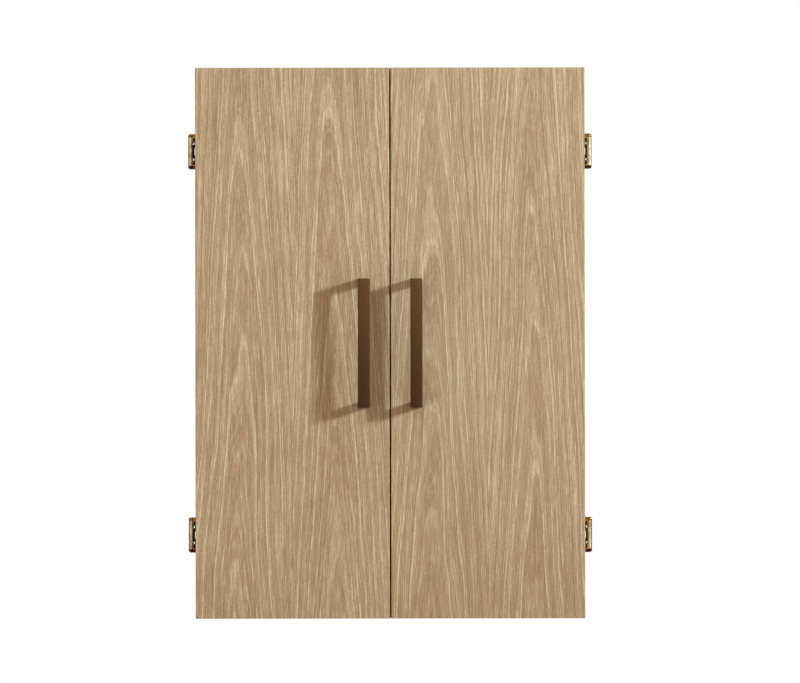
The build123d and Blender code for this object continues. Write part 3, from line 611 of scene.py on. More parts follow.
floor_bm = bmesh.new()
bmesh.ops.create_grid(floor_bm, x_segments=2, y_segments=2, size=FLOOR_REACH)
bmesh.ops.translate(floor_bm, verts=floor_bm.verts, vec=(0, 0, FLOOR_Z))
floor_mesh = mesh_from("floor", floor_bm)
floor_mesh.materials.append(floor_finish)
floor = new_object("floor", floor_mesh)
print("floor at", FLOOR_Z)

# %% [markdown]
# ## Plywood, chipboard and dowels
# The back is birch plywood. Its veneer is peeled round the log, so the figure is broad, soft and
# cloudy, with short fibres over it and three brown glue lines along every cut edge. Chipboard is a
# mass of flat flakes: a Voronoi texture gives each flake its own tone.

# %% Plywood and chipboard
PLY = 12 * MM / 7
BIRCH_DARK = (0.52, 0.38, 0.21, 1)
BIRCH_LIGHT = (0.66, 0.50, 0.30, 1)
GLUE_BROWN = (0.24, 0.14, 0.07, 1)
FLAKE_DARK = (0.17, 0.11, 0.055, 1)
FLAKE_LIGHT = (0.46, 0.34, 0.20, 1)
FLAKES_PER_METRE = 260.0


def plywood_material():
    """Birch plywood: cloudy face veneer, and stripes of glue and cross-laid plies on the edges."""
    material, tree, shader = new_material("birch plywood", Specular_IOR_Level=0.3)
    axes = axes_of(object_place(tree))
    figure = stretched_noise(axes, (60 * MM, 60 * MM, 0.25), 3.0)
    figure = line_noise(times(figure, 26.0), 1.0)
    fibres = stretched_noise(axes, (0.8 * MM, 0.8 * MM, 14 * MM), 2.0)
    tone = mixture(figure, fibres, 0.5)
    colour = blend_colour(between(tone, 0.25, 0.75), BIRCH_DARK, BIRCH_LIGHT)
    ply = sums("FRACT", sums("DIVIDE", axes["Y"], PLY * 2))
    cross_laid = times(between(ply, 0.48, 0.52), 0.45)
    normals = axes_of(node(tree, "NewGeometry").outputs["Normal"])
    on_edge = between(absolute(normals["Y"]), 0.7, 0.3)
    colour = blend_colour(times(cross_laid, on_edge), colour, GLUE_BROWN)
    paint(shader, colour, between(tone, 0.3, 0.7, 0.55, 0.72))
    surface(shader, fibres, 0.12 * MM, 0.6, 0.5 * MM)
    return material


def chipboard_material():
    """Flat wood flakes pressed together."""
    material, tree, shader = new_material("chipboard", Specular_IOR_Level=0.25)
    place = object_place(tree)
    flakes = node(tree, "TexVoronoi", {"Vector": place, "Scale": FLAKES_PER_METRE}).outputs
    tone = node(tree, "SeparateColor", {0: flakes["Color"]}).outputs[0]
    speckle = placed_group(speckle_group, place, Grain=0.7 * MM)
    mixed = mixture(tone, speckle["Fine"], 0.7)
    paint(shader, blend_colour(mixed, FLAKE_DARK, FLAKE_LIGHT), between(mixed, 0, 1, 0.7, 0.9))
    surface(shader, mixed, 0.3 * MM, 0.8)
    return material


finish_node(["back_panel", "case_dowels"], plywood_material())
finish_node(["board_backing"], chipboard_material())
print("plywood and chipboard done")

# %% [markdown]
# ## The face of the dart board
# The bristle is sisal, cut across its fibres and pressed, so from the front it is end grain: a fine
# stipple, dyed in twenty sectors. The dye is a pattern in polar coordinates round the bull, and it is
# worked out from the radius and the bearing instead of being modelled, because the real face is one
# flat surface too. Ring radii are the same ones that the wires follow.

# %% Sisal with dyed sectors
RING_RADII = [r * MM for r in (170.0, 162.0, 107.0, 99.0, 15.9)]
INNER_BULL_R = 6.35 * MM
SECTORS = 20
DYE_BLACK = (0.010, 0.010, 0.009, 1)
DYE_CREAM = (0.60, 0.50, 0.32, 1)
DYE_RED = (0.42, 0.022, 0.016, 1)
DYE_GREEN = (0.015, 0.145, 0.050, 1)
DUSTY_SISAL = (0.25, 0.20, 0.13, 1)
FIBRES_PER_METRE = 1500.0


def inside(radius, low, high):
    """1 where a radius lies between two others."""
    above = sums("GREATER_THAN", radius, low)
    return times(above, sums("LESS_THAN", radius, high))


def sisal_material():
    """Dyed sisal end grain."""
    material, tree, shader = new_material("dyed sisal", Specular_IOR_Level=0.2)
    place = object_place(tree)
    axes = axes_of(place)
    squares = [times(axes[name], axes[name]) for name in "XZ"]
    radius = sums("SQRT", sums("ADD", *squares))
    bearing = sums("ARCTAN2", axes["X"], axes["Z"])
    sector = sums("FLOOR", sums("MULTIPLY_ADD", bearing, SECTORS / math.tau, 0.5))
    odd = sums("FLOORED_MODULO", sector, 2.0)
    colour = blend_colour(odd, DYE_BLACK, DYE_CREAM)
    bright = blend_colour(odd, DYE_RED, DYE_GREEN)
    double_out, double_in, treble_out, treble_in, bull = RING_RADII
    for low, high in ((double_in, double_out), (treble_in, treble_out)):
        colour = blend_colour(inside(radius, low, high), colour, bright)
    colour = blend_colour(sums("LESS_THAN", radius, bull), colour, DYE_GREEN)
    colour = blend_colour(sums("LESS_THAN", radius, INNER_BULL_R), colour, DYE_RED)
    colour = blend_colour(sums("GREATER_THAN", radius, double_out), colour, DYE_BLACK)
    fibres = node(tree, "TexVoronoi", {"Vector": place, "Scale": FIBRES_PER_METRE}).outputs["Distance"]
    speckle = placed_group(speckle_group, place, Grain=0.9 * MM)
    fade = add_share(times(fibres, 0.07), speckle["Broad"], 0.05)
    colour = blend_colour(fade, colour, DUSTY_SISAL)
    paint(shader, colour, between(speckle["Fine"], 0, 1, 0.78, 0.95))
    height = add_share(fibres, speckle["Fine"], 0.6)
    surface(shader, height, 0.25 * MM, 0.8, 0.6 * MM)
    return material


finish_node(["board_bristle"], sisal_material())
print("board face has", SECTORS, "sectors")

# %% [markdown]
# ## Scoreboards
# The scoreboards are hardboard with chalkboard paint: near black, matt and very slightly rough, with
# the grey haze that a dry cloth leaves, in sweeps, after a few games. Two thin painted lines rule each
# board into a heading and two columns.

# %% Chalkboard
chalk_low, chalk_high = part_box("right_scoreboard")
CHALK_MIDDLE_X = (chalk_low.x + chalk_high.x) / 2
HEADING_Z = chalk_high.z - 46 * MM
LINE_HALF = 0.6 * MM
SWEEP_SLANT = math.radians(38)
BOARD_BLACK = (0.014, 0.015, 0.015, 1)
CHALK_DUST = (0.12, 0.12, 0.115, 1)
CHALK_LINE = (0.55, 0.54, 0.50, 1)


def chalkboard_material():
    """Matt black paint with chalk haze and ruled lines."""
    material, tree, shader = new_material("chalkboard", Specular_IOR_Level=0.3)
    place = object_place(tree)
    axes = axes_of(place)
    slanted = object_place(tree, (0, SWEEP_SLANT, 0))
    sweeps = stretched_noise(axes_of(slanted), (9 * MM, 9 * MM, 0.12), 3.0)
    cloud = stretched_noise(axes, (70 * MM, 70 * MM, 0.1), 2.0)
    haze = times(between(sweeps, 0.42, 0.75), between(cloud, 0.4, 0.7))
    colour = blend_colour(times(haze, 0.55), BOARD_BLACK, CHALK_DUST)
    from_middle = absolute(minus(absolute(axes["X"]), CHALK_MIDDLE_X))
    from_heading = absolute(minus(axes["Z"], HEADING_Z))
    ruled = sums("LESS_THAN", sums("MINIMUM", from_middle, from_heading), LINE_HALF)
    speckle = placed_group(speckle_group, place, Grain=0.5 * MM)
    ruled = times(ruled, between(speckle["Fine"], 0, 0.6, 0.5, 0.9))
    paint(shader, blend_colour(ruled, colour, CHALK_LINE), between(haze, 0, 1, 0.62, 0.92))
    surface(shader, speckle["Fine"], 0.05 * MM, 0.6)
    return material


finish_node([f"{hand}_scoreboard" for hand in HANDS], chalkboard_material())
print("heading line at", round(HEADING_Z, 4))

# %% [markdown]
# ## Making and placing pieces
# Every new piece starts as a bmesh, is shaped with operators, and ends as an object that sits at the
# origin with its place in its mesh. It then rides on a body of the frame, so it moves with the joints.

# %% Helpers for pieces
LATHE_STEPS = 24
TOUCHING = 0.001 * MM


def finished_piece(name, bm, materials, body, replaced, smooth_below=40):
    """Turn a bmesh into a finished object that rides on a body and stands for CAD nodes."""
    bmesh.ops.recalc_face_normals(bm, faces=bm.faces)
    mesh = mesh_from(name, bm)
    for material in materials:
        mesh.materials.append(material)
    mesh.shade_smooth()
    mesh.set_sharp_from_angle(angle=math.radians(smooth_below))
    made = new_object(name, mesh)
    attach(made, body)
    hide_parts(*replaced)
    return made


def move(bm, run, verts=None):
    """Move a bmesh, or only some of its vertices."""
    bmesh.ops.translate(bm, vec=run, verts=verts or bm.verts)


def turn_about(bm, axis, angle, verts=None):
    """Turn a bmesh, or only some of its vertices, about an axis through the origin."""
    matrix = Matrix.Rotation(angle, 3, axis)
    bmesh.ops.rotate(bm, cent=(0, 0, 0), matrix=matrix, verts=verts or bm.verts)


def spin_round(bm, geom, steps, angle=math.tau, **settings):
    """Spin some geometry about the Z axis."""
    bmesh.ops.spin(bm, geom=geom, cent=(0, 0, 0), axis=(0, 0, 1), angle=angle, steps=steps, **settings)


def everything(bm):
    """All vertices, edges and faces of a bmesh."""
    return bm.verts[:] + bm.edges[:] + bm.faces[:]


def soften_edges(bm, offset):
    """Bevel every edge where two faces meet at more than 60 degrees."""
    sharp = [edge for edge in bm.edges if edge.calc_face_angle(0) > math.radians(60)]
    bmesh.ops.bevel(bm, geom=sharp, offset=offset, segments=3, profile=0.5, material=-1, affect="EDGES")


def face_room(bm, centre):
    """Turn a shape that was made lying on its back to face the room, and move it to its place."""
    turn_about(bm, "X", QUARTER_TURN)
    move(bm, centre)


def join_meshes(bm, other):
    """Add another bmesh to this one, and free it."""
    mesh = mesh_from("part", other)
    bm.from_mesh(mesh)
    bpy.data.meshes.remove(mesh)


def lathe(bm, profile):
    """Spin a profile of (radius, height) points about the Z axis into a closed solid."""
    verts = [bm.verts.new((radius, 0, height)) for radius, height in profile]
    edges = [bm.edges.new(pair) for pair in zip(verts, verts[1:])]
    spin_round(bm, verts + edges, LATHE_STEPS, use_merge=True)
    bmesh.ops.remove_doubles(bm, verts=bm.verts, dist=TOUCHING)


print("helpers ready")

# %% [markdown]
# ## Pulls
# Each pull is a flat bar bent to a U. It is built the way it is bent: a foot is extruded out from the
# door, then along the bar, then back to the door, one block at each bend. A small bevel takes the
# sharpness off every edge. The finish is dark bronze. Its colour is painted lighter towards the top and
# darker towards the bottom, a painted reflection of the light above, and lighter along the edges,
# partly for wear where hands reach first and partly as a painted highlight.

# %% Dark bronze
pull_low, pull_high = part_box("right_pull")


def bronze_material():
    """Dark bronze plate over steel, painted lighter at the top and darker downwards, with worn,
    highlighted edges.
    """
    material, tree, shader = new_material("dark bronze", Metallic=0.55, Specular_IOR_Level=0.2)
    place = object_place(tree)
    height = node(tree, "SeparateXYZ", {0: place}).outputs["Z"]
    mottle = placed_group(speckle_group, place, Grain=0.5 * MM)
    scratched = placed_group(scratch_group, place, Width=0.5 * MM, Length=9 * MM)["Mask"]
    # Painted light: the colour runs from darker at the bottom of the pull to lighter at the top, standing
    # in for reflected light; mottle and scratches add real tone.
    whole_pull = {"Value": height, "From Min": pull_low.z, "From Max": pull_high.z}
    tone_and_painted_top_light = node(tree, "MapRange", whole_pull).outputs[0]
    tone_and_painted_top_light = add_share(tone_and_painted_top_light, minus(mottle["Broad"], 0.5), 0.14)
    tone_and_painted_top_light = add_share(tone_and_painted_top_light, minus(scratched, 0.5), 0.08)
    colour = blend_colour(tone_and_painted_top_light, BRONZE_LOW, BRONZE_HIGH)
    # Edges are lightened partly for wear and partly as a painted highlight where they catch the light.
    wear_and_highlight = placed_group(edge_wear_highlight_group, place, Grain=5 * MM)["Mask"]
    colour = blend_colour(times(wear_and_highlight, 0.4), colour, BRONZE_WORN_LIT)
    paint(shader, colour, between(scratched, 0, 1, 0.42, 0.56))
    surface(shader, mottle["Fine"], 0.03 * MM, 0.5)
    return material


# The low and high colours are the ends of the painted light down the pull; the edge colour is partly wear
# and partly painted highlight.
BRONZE_LOW = (0.0380, 0.0185, 0.0062, 1)
BRONZE_HIGH = (0.0830, 0.0435, 0.0140, 1)
BRONZE_WORN_LIT = (0.17, 0.105, 0.05, 1)
bronze = bronze_material()
print("bronze done")

# %% Bend the pulls
PULL_BAR = 8 * MM
PULL_EDGE = 0.7 * MM


def extrude_block(bm, face, run):
    """Extrude a face by a run, and give back the face at the far end."""
    made = bmesh.ops.extrude_face_region(bm, geom=[face])["geom"]
    verts = [part for part in made if isinstance(part, bmesh.types.BMVert)]
    move(bm, run, verts)
    return next(part for part in made if isinstance(part, bmesh.types.BMFace))


def side_face(bm, direction, near):
    """The face that points in a direction, of those nearest to a place."""
    bm.normal_update()
    facing = [face for face in bm.faces if face.normal.dot(Vector(direction)) > 0.9]
    return min(facing, key=lambda face: (face.calc_center_median() - Vector(near)).length)


def bent_pull(hand):
    """One pull, from its upper foot round to its lower foot."""
    low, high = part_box(f"{hand}_pull")
    middle = (low + high) / 2
    width = high.x - low.x
    stand = high.y - low.y - PULL_BAR
    bm = bmesh.new()
    bmesh.ops.create_grid(bm, x_segments=1, y_segments=1, size=0.5)
    bmesh.ops.scale(bm, vec=(width, PULL_BAR, 1), verts=bm.verts)
    face_room(bm, (middle.x, high.y, high.z - PULL_BAR / 2))
    bm.faces.ensure_lookup_table()
    bmesh.ops.reverse_faces(bm, faces=bm.faces[:])
    upper_leg = extrude_block(bm, bm.faces[0], (0, -stand, 0))
    extrude_block(bm, upper_leg, (0, -PULL_BAR, 0))
    bmesh.ops.recalc_face_normals(bm, faces=bm.faces)
    under = side_face(bm, (0, 0, -1), (middle.x, low.y, high.z - PULL_BAR))
    bar = extrude_block(bm, under, (0, 0, -(high.z - low.z - 2 * PULL_BAR)))
    extrude_block(bm, bar, (0, 0, -PULL_BAR))
    bmesh.ops.recalc_face_normals(bm, faces=bm.faces)
    back = side_face(bm, (0, 1, 0), (middle.x, low.y + PULL_BAR, low.z))
    extrude_block(bm, back, (0, stand, 0))
    bmesh.ops.recalc_face_normals(bm, faces=bm.faces)
    soften_edges(bm, PULL_EDGE)
    return finished_piece(f"{hand}_bar_pull", bm, [bronze], f"{hand}_door", [f"{hand}_pull"])


for hand in HANDS:
    print(bent_pull(hand).name, "bent")

# %% [markdown]
# ## Wire of the dart board
# The spider is round wire: rings at the edges of the doubles and trebles, two round the bull, and
# twenty straight wires between the sectors. The number ring is thicker wire, with each numeral bent
# from one length. A ring is a small circle spun round the middle of the board. A straight wire is a
# cylinder, and spin with duplicates sets twenty of them round.

# %% Rings and straight wires
WIRE_R = 0.6 * MM
spider_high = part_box("wire_spider")[1]
WIRE_Y = spider_high.y - WIRE_R
RING_STEPS = 96
SECTOR_TURN = math.tau / SECTORS


def wire_ring(bm, radius, wire):
    """A ring of round wire, lying flat about the Z axis."""
    section = bmesh.ops.create_circle(bm, segments=8, radius=wire)["verts"]
    turn_about(bm, "X", QUARTER_TURN, section)
    move(bm, (radius, 0, 0), section)
    edges = list({edge for vert in section for edge in vert.link_edges})
    spin_round(bm, section + edges, RING_STEPS, use_merge=True)


outer_end, inner_end = RING_RADII[0], RING_RADII[-1]

spider_bm = bmesh.new()
bmesh.ops.create_cone(spider_bm, cap_ends=True, segments=8, radius1=WIRE_R, radius2=WIRE_R,
                      depth=outer_end - inner_end)
turn_about(spider_bm, "Y", QUARTER_TURN)
move(spider_bm, ((outer_end + inner_end) / 2, 0, 0))
turn_about(spider_bm, "Z", SECTOR_TURN / 2)
others = SECTORS - 1
spin_round(spider_bm, everything(spider_bm), others, SECTOR_TURN * others, use_duplicate=True)
for radius in RING_RADII + [INNER_BULL_R]:
    wire_ring(spider_bm, radius, WIRE_R)
face_room(spider_bm, (0, WIRE_Y, 0))
spider = finished_piece("round_wire_spider", spider_bm, [drawn_wire], "dart_board", ["wire_spider"])
print("spider", len(spider.data.polygons), "faces")

# %% [markdown]
# ### Numerals
# Each digit is a curve with a few control points on a grid two wide and two high, and the curve is
# given the thickness of the wire. NURBS points round the bends the way wire does. Straight strokes
# need their points in pairs, or the curve would cut the corner.

# %% Bend the numerals
NUMERAL_R = 209.0 * MM
NUMERAL_SIZE = (3.6 * MM, 10.5 * MM)
NUMERAL_SPACING = 11.5 * MM
NUMBER_WIRE_R = 1.0 * MM
HOOP_RADII = (221.0 * MM, 197.0 * MM)
NUMBERS = (20, 1, 18, 4, 13, 6, 10, 15, 2, 17, 3, 19, 7, 16, 8, 11, 14, 9, 12, 5)
BENT_DIGITS = {
    "0": ((0, 1), (1, 1), (1, 0.4), (1, -0.4), (1, -1), (0, -1), (-1, -1), (-1, -0.4),
          (-1, 0.4), (-1, 1), (0, 1)),
    "1": ((-0.7, 0.55), (-0.1, 0.95), (0, 1), (0, 0.9), (0, -1)),
    "2": ((-1, 0.5), (-1, 1), (1, 1), (1, 0.35), (0.4, -0.1), (-1, -1), (-1, -1), (1, -1)),
    "3": ((-1, 0.7), (-0.6, 1), (1, 1), (1, 0.1), (-0.2, 0.05), (-0.2, 0.05), (1, 0), (1, -1),
          (-0.6, -1), (-1, -0.7)),
    "4": ((0.5, -1), (0.5, 1), (0.5, 1), (-1, -0.35), (-1, -0.35), (1, -0.35)),
    "5": ((0.9, 1), (-0.8, 1), (-0.8, 1), (-0.9, 0.1), (-0.9, 0.1), (1, 0.3), (1, -1), (-0.4, -1),
          (-1, -0.7)),
    "6": ((0.8, 1), (-0.4, 0.7), (-1, -0.1), (-1, -1), (1, -1), (1, 0.1), (-0.5, 0.15), (-1, -0.3)),
    "7": ((-1, 1), (1, 1), (1, 1), (0, -0.1), (-0.2, -1)),
    "8": ((0, 0.05), (-1, 0.25), (-1, 1), (1, 1), (1, 0.25), (0, 0.05), (-1, -0.15), (-1, -1), (1, -1),
          (1, -0.15), (0, 0.05)),
    "9": ((-0.8, -1), (0.4, -0.7), (1, 0.1), (1, 1), (-1, 1), (-1, -0.1), (0.5, -0.15), (1, 0.3)),
}


def wire_digit(digit):
    """A bmesh of one digit of bent wire, standing about the origin in the XY plane."""
    curve = bpy.data.curves.new("digit", "CURVE")
    curve.dimensions = "3D"
    curve.bevel_depth = NUMBER_WIRE_R
    curve.bevel_resolution = 1
    curve.resolution_u = 4
    curve.use_fill_caps = True
    spline = curve.splines.new("NURBS")
    points = BENT_DIGITS[digit]
    spline.points.add(len(points) - 1)
    for point, (x, y) in zip(spline.points, points):
        point.co = (x * NUMERAL_SIZE[0], y * NUMERAL_SIZE[1], 0, 1)
    spline.order_u = 3
    spline.use_endpoint_u = True
    holder = bpy.data.objects.new("digit", curve)
    mesh = bpy.data.meshes.new_from_object(holder)
    bm = bmesh.new()
    bm.from_mesh(mesh)
    bpy.data.objects.remove(holder)
    bpy.data.curves.remove(curve)
    bpy.data.meshes.remove(mesh)
    return bm


ring_bm = bmesh.new()
for radius in HOOP_RADII:
    wire_ring(ring_bm, radius, NUMBER_WIRE_R)
for place, number in enumerate(NUMBERS):
    digits = str(number)
    for order, digit in enumerate(digits):
        bent = wire_digit(digit)
        across = (order - (len(digits) - 1) / 2) * NUMERAL_SPACING
        move(bent, (across, NUMERAL_R, 0))
        turn_about(bent, "Z", -place * SECTOR_TURN)
        join_meshes(ring_bm, bent)
number_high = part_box("number_ring")[1]
face_room(ring_bm, (0, number_high.y - NUMBER_WIRE_R, 0))
number_ring = finished_piece("bent_wire_numbers", ring_bm, [drawn_wire], "dart_board", ["number_ring"])
print("number ring", len(number_ring.data.polygons), "faces")

# %% [markdown]
# ## Darts
# A dart is a ground steel point, a knurled barrel, a plastic stem and a set of four thin flights. The
# point, barrel and stem are all turned, so each is a profile spun round the dart's axis. The knurling
# is cut as real grooves, in three bands. One flight is a thin plate with rounded corners, and a spin
# with duplicates sets the four round the stem. Left and right sets have flights of different colours.

# %% Dart finishes
point_steel = metal_finish("ground steel", (0.42, 0.42, 0.43), (0.62, 0.62, 0.62), (0.2, 0.36))
barrel_metal = metal_finish("turned barrel", (0.30, 0.29, 0.27), (0.56, 0.54, 0.50), (0.22, 0.4),
                            length=0.6 * MM)
STRIPE_RATE = 3.2 / MM
FLIGHT_DYES = {"left": ((0.008, 0.050, 0.028), (0.014, 0.085, 0.045)),
               "right": ((0.115, 0.008, 0.010), (0.19, 0.014, 0.014))}


def flight_film(hand):
    """Glossy plastic film with an embossed diagonal stripe."""
    dark, light = FLIGHT_DYES[hand]
    material, tree, shader = new_material(f"flight film, {hand}", Specular_IOR_Level=0.5)
    place = object_place(tree)
    axes = axes_of(place)
    slope = sums("ADD", sums("ADD", *axes[:2]), axes["Z"])
    ridges = sums("SINE", times(slope, STRIPE_RATE))
    speckle = placed_group(speckle_group, place, Grain=0.4 * MM)
    mixed = mixture(speckle["Broad"], between(ridges, -1, 1), 0.7)
    paint(shader, blend_colour(mixed, (*dark, 1), (*light, 1)), between(speckle["Fine"], 0, 1, 0.28, 0.42))
    surface(shader, ridges, 0.05 * MM, 0.6)
    return material


flight_films = {hand: flight_film(hand) for hand in HANDS}
print("dart finishes", [film.name for film in flight_films.values()])

# %% Turn the darts
rack_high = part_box("right_dart_rack")[1]
POINT_R = 1.1 * MM
BARREL_R = 3.3 * MM
STEM_R = 2.1 * MM
GROOVE = 0.35 * MM
FLIGHT_THICK = 0.35 * MM
FLIGHT_SINK = 7 * MM
FLIGHT_SLOPE = 1.6
FLIGHT_CORNER = 3 * MM
POINT_LENGTH = 30 * MM
BARREL_END = 80 * MM
STEM_SHORT_OF_TOP = 20 * MM
KNURLED_BANDS = ((7, 9), (21, 11), (36, 6))


def knurled(low, high, count):
    """A run of grooves round the barrel, as profile points."""
    pitch = (high - low) / count
    run = []
    for groove in range(count):
        foot = low + groove * pitch
        run.append((BARREL_R, foot))
        run += [(BARREL_R - GROOVE, foot + share * pitch) for share in (0.35, 0.6)]
    return run + [(BARREL_R, high)]


def dart_piece(hand, number):
    """One dart, from its tip up to its flights, in the place of its CAD node."""
    node_name = f"{hand}_dart_{number}"
    low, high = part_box(node_name)
    middle = (low + high) / 2
    flight_r = (high.x - low.x) / 2 / math.cos(QUARTER_TURN / 2) - 0.4 * MM
    tip, top = low.z, high.z
    foot, shoulder = tip + POINT_LENGTH, tip + BARREL_END
    point = ((0, tip), (0.5 * MM, tip + 1.5 * MM), (POINT_R, tip + 6 * MM), (POINT_R, foot), (0, foot))
    nose = foot - 0.3 * MM
    barrel = [(0, nose), (POINT_R + 0.5 * MM, nose), (BARREL_R - 0.6 * MM, foot + 5 * MM)]
    for start, count in KNURLED_BANDS:
        barrel += knurled(foot + start * MM, foot + (start + count) * MM, count)
    barrel += [(BARREL_R, shoulder - 3 * MM), (STEM_R, shoulder), (0, shoulder)]
    stem_top = top - STEM_SHORT_OF_TOP
    waist = STEM_R * 0.8
    stem = ((0, shoulder), (STEM_R, shoulder), (waist, shoulder + 4 * MM), (waist, shoulder + 26 * MM),
            (STEM_R, shoulder + 30 * MM), (STEM_R, stem_top - 1 * MM), (STEM_R * 0.7, stem_top),
            (0, stem_top))
    bm = bmesh.new()
    for index, profile in enumerate((point, barrel, stem)):
        part = bmesh.new()
        lathe(part, profile)
        for face in part.faces:
            face.material_index = index
        join_meshes(bm, part)
    wings = flight_set(flight_r, rack_high.z, top)
    for face in wings.faces:
        face.material_index = 3
    join_meshes(bm, wings)
    move(bm, (middle.x, middle.y, 0))
    finishes = [point_steel, barrel_metal, black_plastic, flight_films[hand]]
    return finished_piece(f"{hand}_turned_dart_{number}", bm, finishes, f"{hand}_dart_body_{number}",
                          [node_name], smooth_below=30)


def flight_set(reach, rack_top, top):
    """Four thin flights, set diagonally about the Z axis."""
    bm = bmesh.new()
    foot = rack_top - FLIGHT_SINK
    root = STEM_R * 0.6
    outline = ((root, foot), (reach, foot + FLIGHT_SLOPE * reach), (reach, top - 8 * MM),
               (reach - 6 * MM, top), (root, top))
    verts = [bm.verts.new((x, 0, z)) for x, z in outline]
    bm.faces.new(verts)
    bmesh.ops.bevel(bm, geom=verts[1:4], offset=FLIGHT_CORNER, segments=4, profile=0.5, material=-1,
                    affect="VERTICES")
    bmesh.ops.solidify(bm, geom=bm.faces[:], thickness=FLIGHT_THICK)
    move(bm, (0, FLIGHT_THICK / 2, 0))
    turn_about(bm, "Z", QUARTER_TURN / 2)
    spin_round(bm, everything(bm), 3, QUARTER_TURN * 3, use_duplicate=True)
    return bm


for hand in HANDS:
    for number in (1, 2, 3):
        dart = dart_piece(hand, number)
        print(dart.name, len(dart.data.polygons), "faces")

# %% [markdown]
# ## Scoreboard frames
# The frame round each scoreboard is a small oak moulding, mitred at the corners. Each of the four
# lengths is extruded from the same profile and then cut at 45 degrees with bisect_plane, the way a
# mitre saw does it. The upright and the level lengths have their own material, so the grain runs along
# every length.

# %% Mitre the frames
MOULDING_PROFILE = ((0, 0), (0, 3.6), (1.4, 5), (5, 5), (6.5, 4.2), (9.5, 3.9), (12.8, 2.6), (14, 1.2),
                    (14, 0))


def mitred_length(length, turn, material_index):
    """One length of moulding. Its outer edge is at half the frame's size, and its back lies on y = 0."""
    bm = bmesh.new()
    verts = [bm.verts.new((x * MM, y * MM, -length / 2)) for x, y in MOULDING_PROFILE]
    extrude_block(bm, bm.faces.new(verts), (0, 0, length))
    for end in (1, -1):
        corner = (0, 0, end * length / 2)
        cut = bmesh.ops.bisect_plane(bm, geom=everything(bm), plane_co=corner, plane_no=(1, 0, end),
                                     clear_outer=True, dist=TOUCHING)
        rim = [part for part in cut["geom_cut"] if isinstance(part, bmesh.types.BMEdge)]
        bmesh.ops.edgenet_fill(bm, edges=rim)
    bmesh.ops.remove_doubles(bm, verts=bm.verts, dist=TOUCHING)
    for face in bm.faces:
        face.material_index = material_index
    turn_about(bm, "Y", turn)
    return bm


def moulded_frame(hand):
    """Four mitred lengths round a scoreboard, on the inside of its door."""
    low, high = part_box(f"{hand}_scoreboard_frame")
    middle = (low + high) / 2
    width, height = high.x - low.x, high.z - low.z
    bm = bmesh.new()
    for turn, length, reach, index in ((0, height, width, 0), (QUARTER_TURN, width, height, 1),
                                       (math.pi, height, width, 0), (-QUARTER_TURN, width, height, 1)):
        part = mitred_length(length, turn, index)
        outward = Matrix.Rotation(turn, 3, "Y") @ Vector((-reach / 2, 0, 0))
        move(part, outward + Vector((middle.x, low.y, middle.z)))
        join_meshes(bm, part)
    return finished_piece(f"{hand}_moulded_frame", bm, [door_oak, level_oak], f"{hand}_door",
                          [f"{hand}_scoreboard_frame"], smooth_below=25)


for hand in HANDS:
    print(moulded_frame(hand).name, "mitred")

# %% [markdown]
# ## Felt
# The felt behind the board is glued on, so it lies flat, but cut felt has a soft rounded edge and a
# surface that is never quite level. A grid with a window for the bracket is thickened, its rim is
# rounded and its face is moved in and out by up to a quarter of a millimetre of noise. The fuzz itself is
# in the material: bump from stretched noise, and sheen for the pale rim that fibres give.

# %% Felt
FELT_BLACK = (0.007, 0.007, 0.008, 1)
FELT_GREY = (0.020, 0.020, 0.021, 1)


def felt_material():
    """Black felt, with hairs that lie both ways."""
    sheen = {"Sheen_Weight": 0.12, "Sheen_Roughness": 0.5}
    material, tree, shader = new_material("black felt", Specular_IOR_Level=0.15, **sheen)
    place = object_place(tree)
    hairs = stretched_noise(axes_of(place), (0.25 * MM, 1 * MM, 1.6 * MM), 3.0, 0.7)
    cross_hairs = stretched_noise(axes_of(place), (1.8 * MM, 1 * MM, 0.3 * MM), 3.0, 0.7)
    fuzz = sums("MAXIMUM", hairs, cross_hairs)
    mottle = placed_group(speckle_group, place, Grain=1.2 * MM)["Broad"]
    tone = add_share(between(fuzz, 0.45, 0.8, 0.0, 0.6), mottle, 0.4)
    paint(shader, blend_colour(tone, FELT_BLACK, FELT_GREY), between(tone, 0, 1, 0.85, 1.0))
    surface(shader, fuzz, 0.4 * MM, 0.9)
    return material


felt_finish = felt_material()
print("felt finish ready")

# %% Cut the felt
felt_low, felt_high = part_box("felt_liner")
bracket_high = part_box("hanger_bracket")[1]
FELT_THICK = 1.6 * MM
FELT_CELL = 10 * MM
WINDOW_MARGIN = 2 * MM
FELT_EDGE = 0.6 * MM
NEARLY = 0.01 * MM
WAVINESS, WAVES_PER_METRE = 0.25 * MM, 45

felt_bm = bmesh.new()
felt_width, felt_height = felt_high.x - felt_low.x, felt_high.z - felt_low.z
felt_cells = {"x_segments": round(felt_width / FELT_CELL), "y_segments": round(felt_height / FELT_CELL)}
bmesh.ops.create_grid(felt_bm, **felt_cells, size=0.5)
bmesh.ops.scale(felt_bm, vec=(felt_width, felt_height, 1), verts=felt_bm.verts)
window = Vector((bracket_high.x + WINDOW_MARGIN, bracket_high.z + WINDOW_MARGIN))
for axis, reach in ((Vector((1, 0, 0)), window.x), (Vector((0, 1, 0)), window.y)):
    for end in (1, -1):
        cut_at = axis * reach * end
        bmesh.ops.bisect_plane(felt_bm, geom=everything(felt_bm), plane_co=cut_at, plane_no=axis,
                               dist=NEARLY)
in_window = [face for face in felt_bm.faces if abs(face.calc_center_median().x) < window.x
             and abs(face.calc_center_median().y) < window.y]
bmesh.ops.delete(felt_bm, geom=in_window, context="FACES")
bmesh.ops.solidify(felt_bm, geom=felt_bm.faces[:], thickness=FELT_THICK)
bmesh.ops.recalc_face_normals(felt_bm, faces=felt_bm.faces)
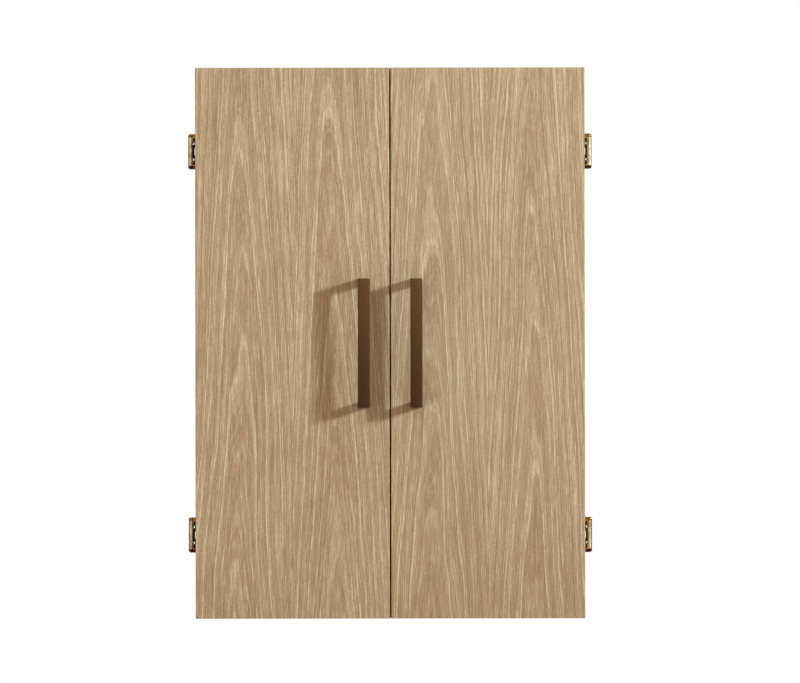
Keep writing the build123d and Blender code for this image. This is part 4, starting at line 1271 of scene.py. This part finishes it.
soften_edges(felt_bm, FELT_EDGE)
face_room(felt_bm, (0, 0, 0))
made_at_y = min(vert.co.y for vert in felt_bm.verts)
front_y = felt_high.y - FELT_THICK
move(felt_bm, (0, front_y - made_at_y, 0))
for vert in felt_bm.verts:
    if vert.co.y < front_y + NEARLY:
        vert.co.y += WAVINESS * noise.noise(vert.co * WAVES_PER_METRE)
felt = finished_piece("glued_felt", felt_bm, [felt_finish], "case", ["felt_liner"], smooth_below=80)

# %% [markdown]
# ## Rubber feet and bumpers
# The doors close against four rubber bumpers, and the board stands off the felt on three rubber feet.
# A moulded button is round, so one profile is spun for all of them, scaled to each radius and depth.

# %% Rubber feet and bumpers
DOME_PROFILE = ((0, 0), (0.88, 0), (1, 0.14), (1, 0.55), (0.93, 0.82), (0.72, 0.96), (0.4, 1), (0, 1))


def rubber_buttons(name, cad_node, places, radius, body):
    """Moulded rubber buttons with a rounded face, one at each (x, z), as deep as the CAD node."""
    low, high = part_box(cad_node)
    depth = high.y - low.y
    bm = bmesh.new()
    for x, z in places:
        button = bmesh.new()
        lathe(button, [(r * radius, h * depth) for r, h in DOME_PROFILE])
        face_room(button, (x, high.y, z))
        join_meshes(bm, button)
    return finished_piece(name, bm, [rubber], body, [cad_node])


bumper_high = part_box("door_bumpers")[1]
BUMPER_R = 5 * MM
bumper_x, bumper_z = bumper_high.x - BUMPER_R, bumper_high.z - BUMPER_R
bumper_places = [(x, z) for x in (-bumper_x, bumper_x) for z in (-bumper_z, bumper_z)]
rubber_buttons("domed_bumpers", "door_bumpers", bumper_places, BUMPER_R, "case")

FOOT_R = 8 * MM
FOOT_CIRCLE_R = 180 * MM
foot_turns = [QUARTER_TURN + math.tau * step / 3 for step in range(3)]
foot_places = [(FOOT_CIRCLE_R * math.cos(turn), FOOT_CIRCLE_R * math.sin(turn)) for turn in foot_turns]
rubber_buttons("domed_feet", "spacer_feet", foot_places, FOOT_R, "dart_board")
print("bumpers at", bumper_places[0], "and feet on", FOOT_CIRCLE_R)
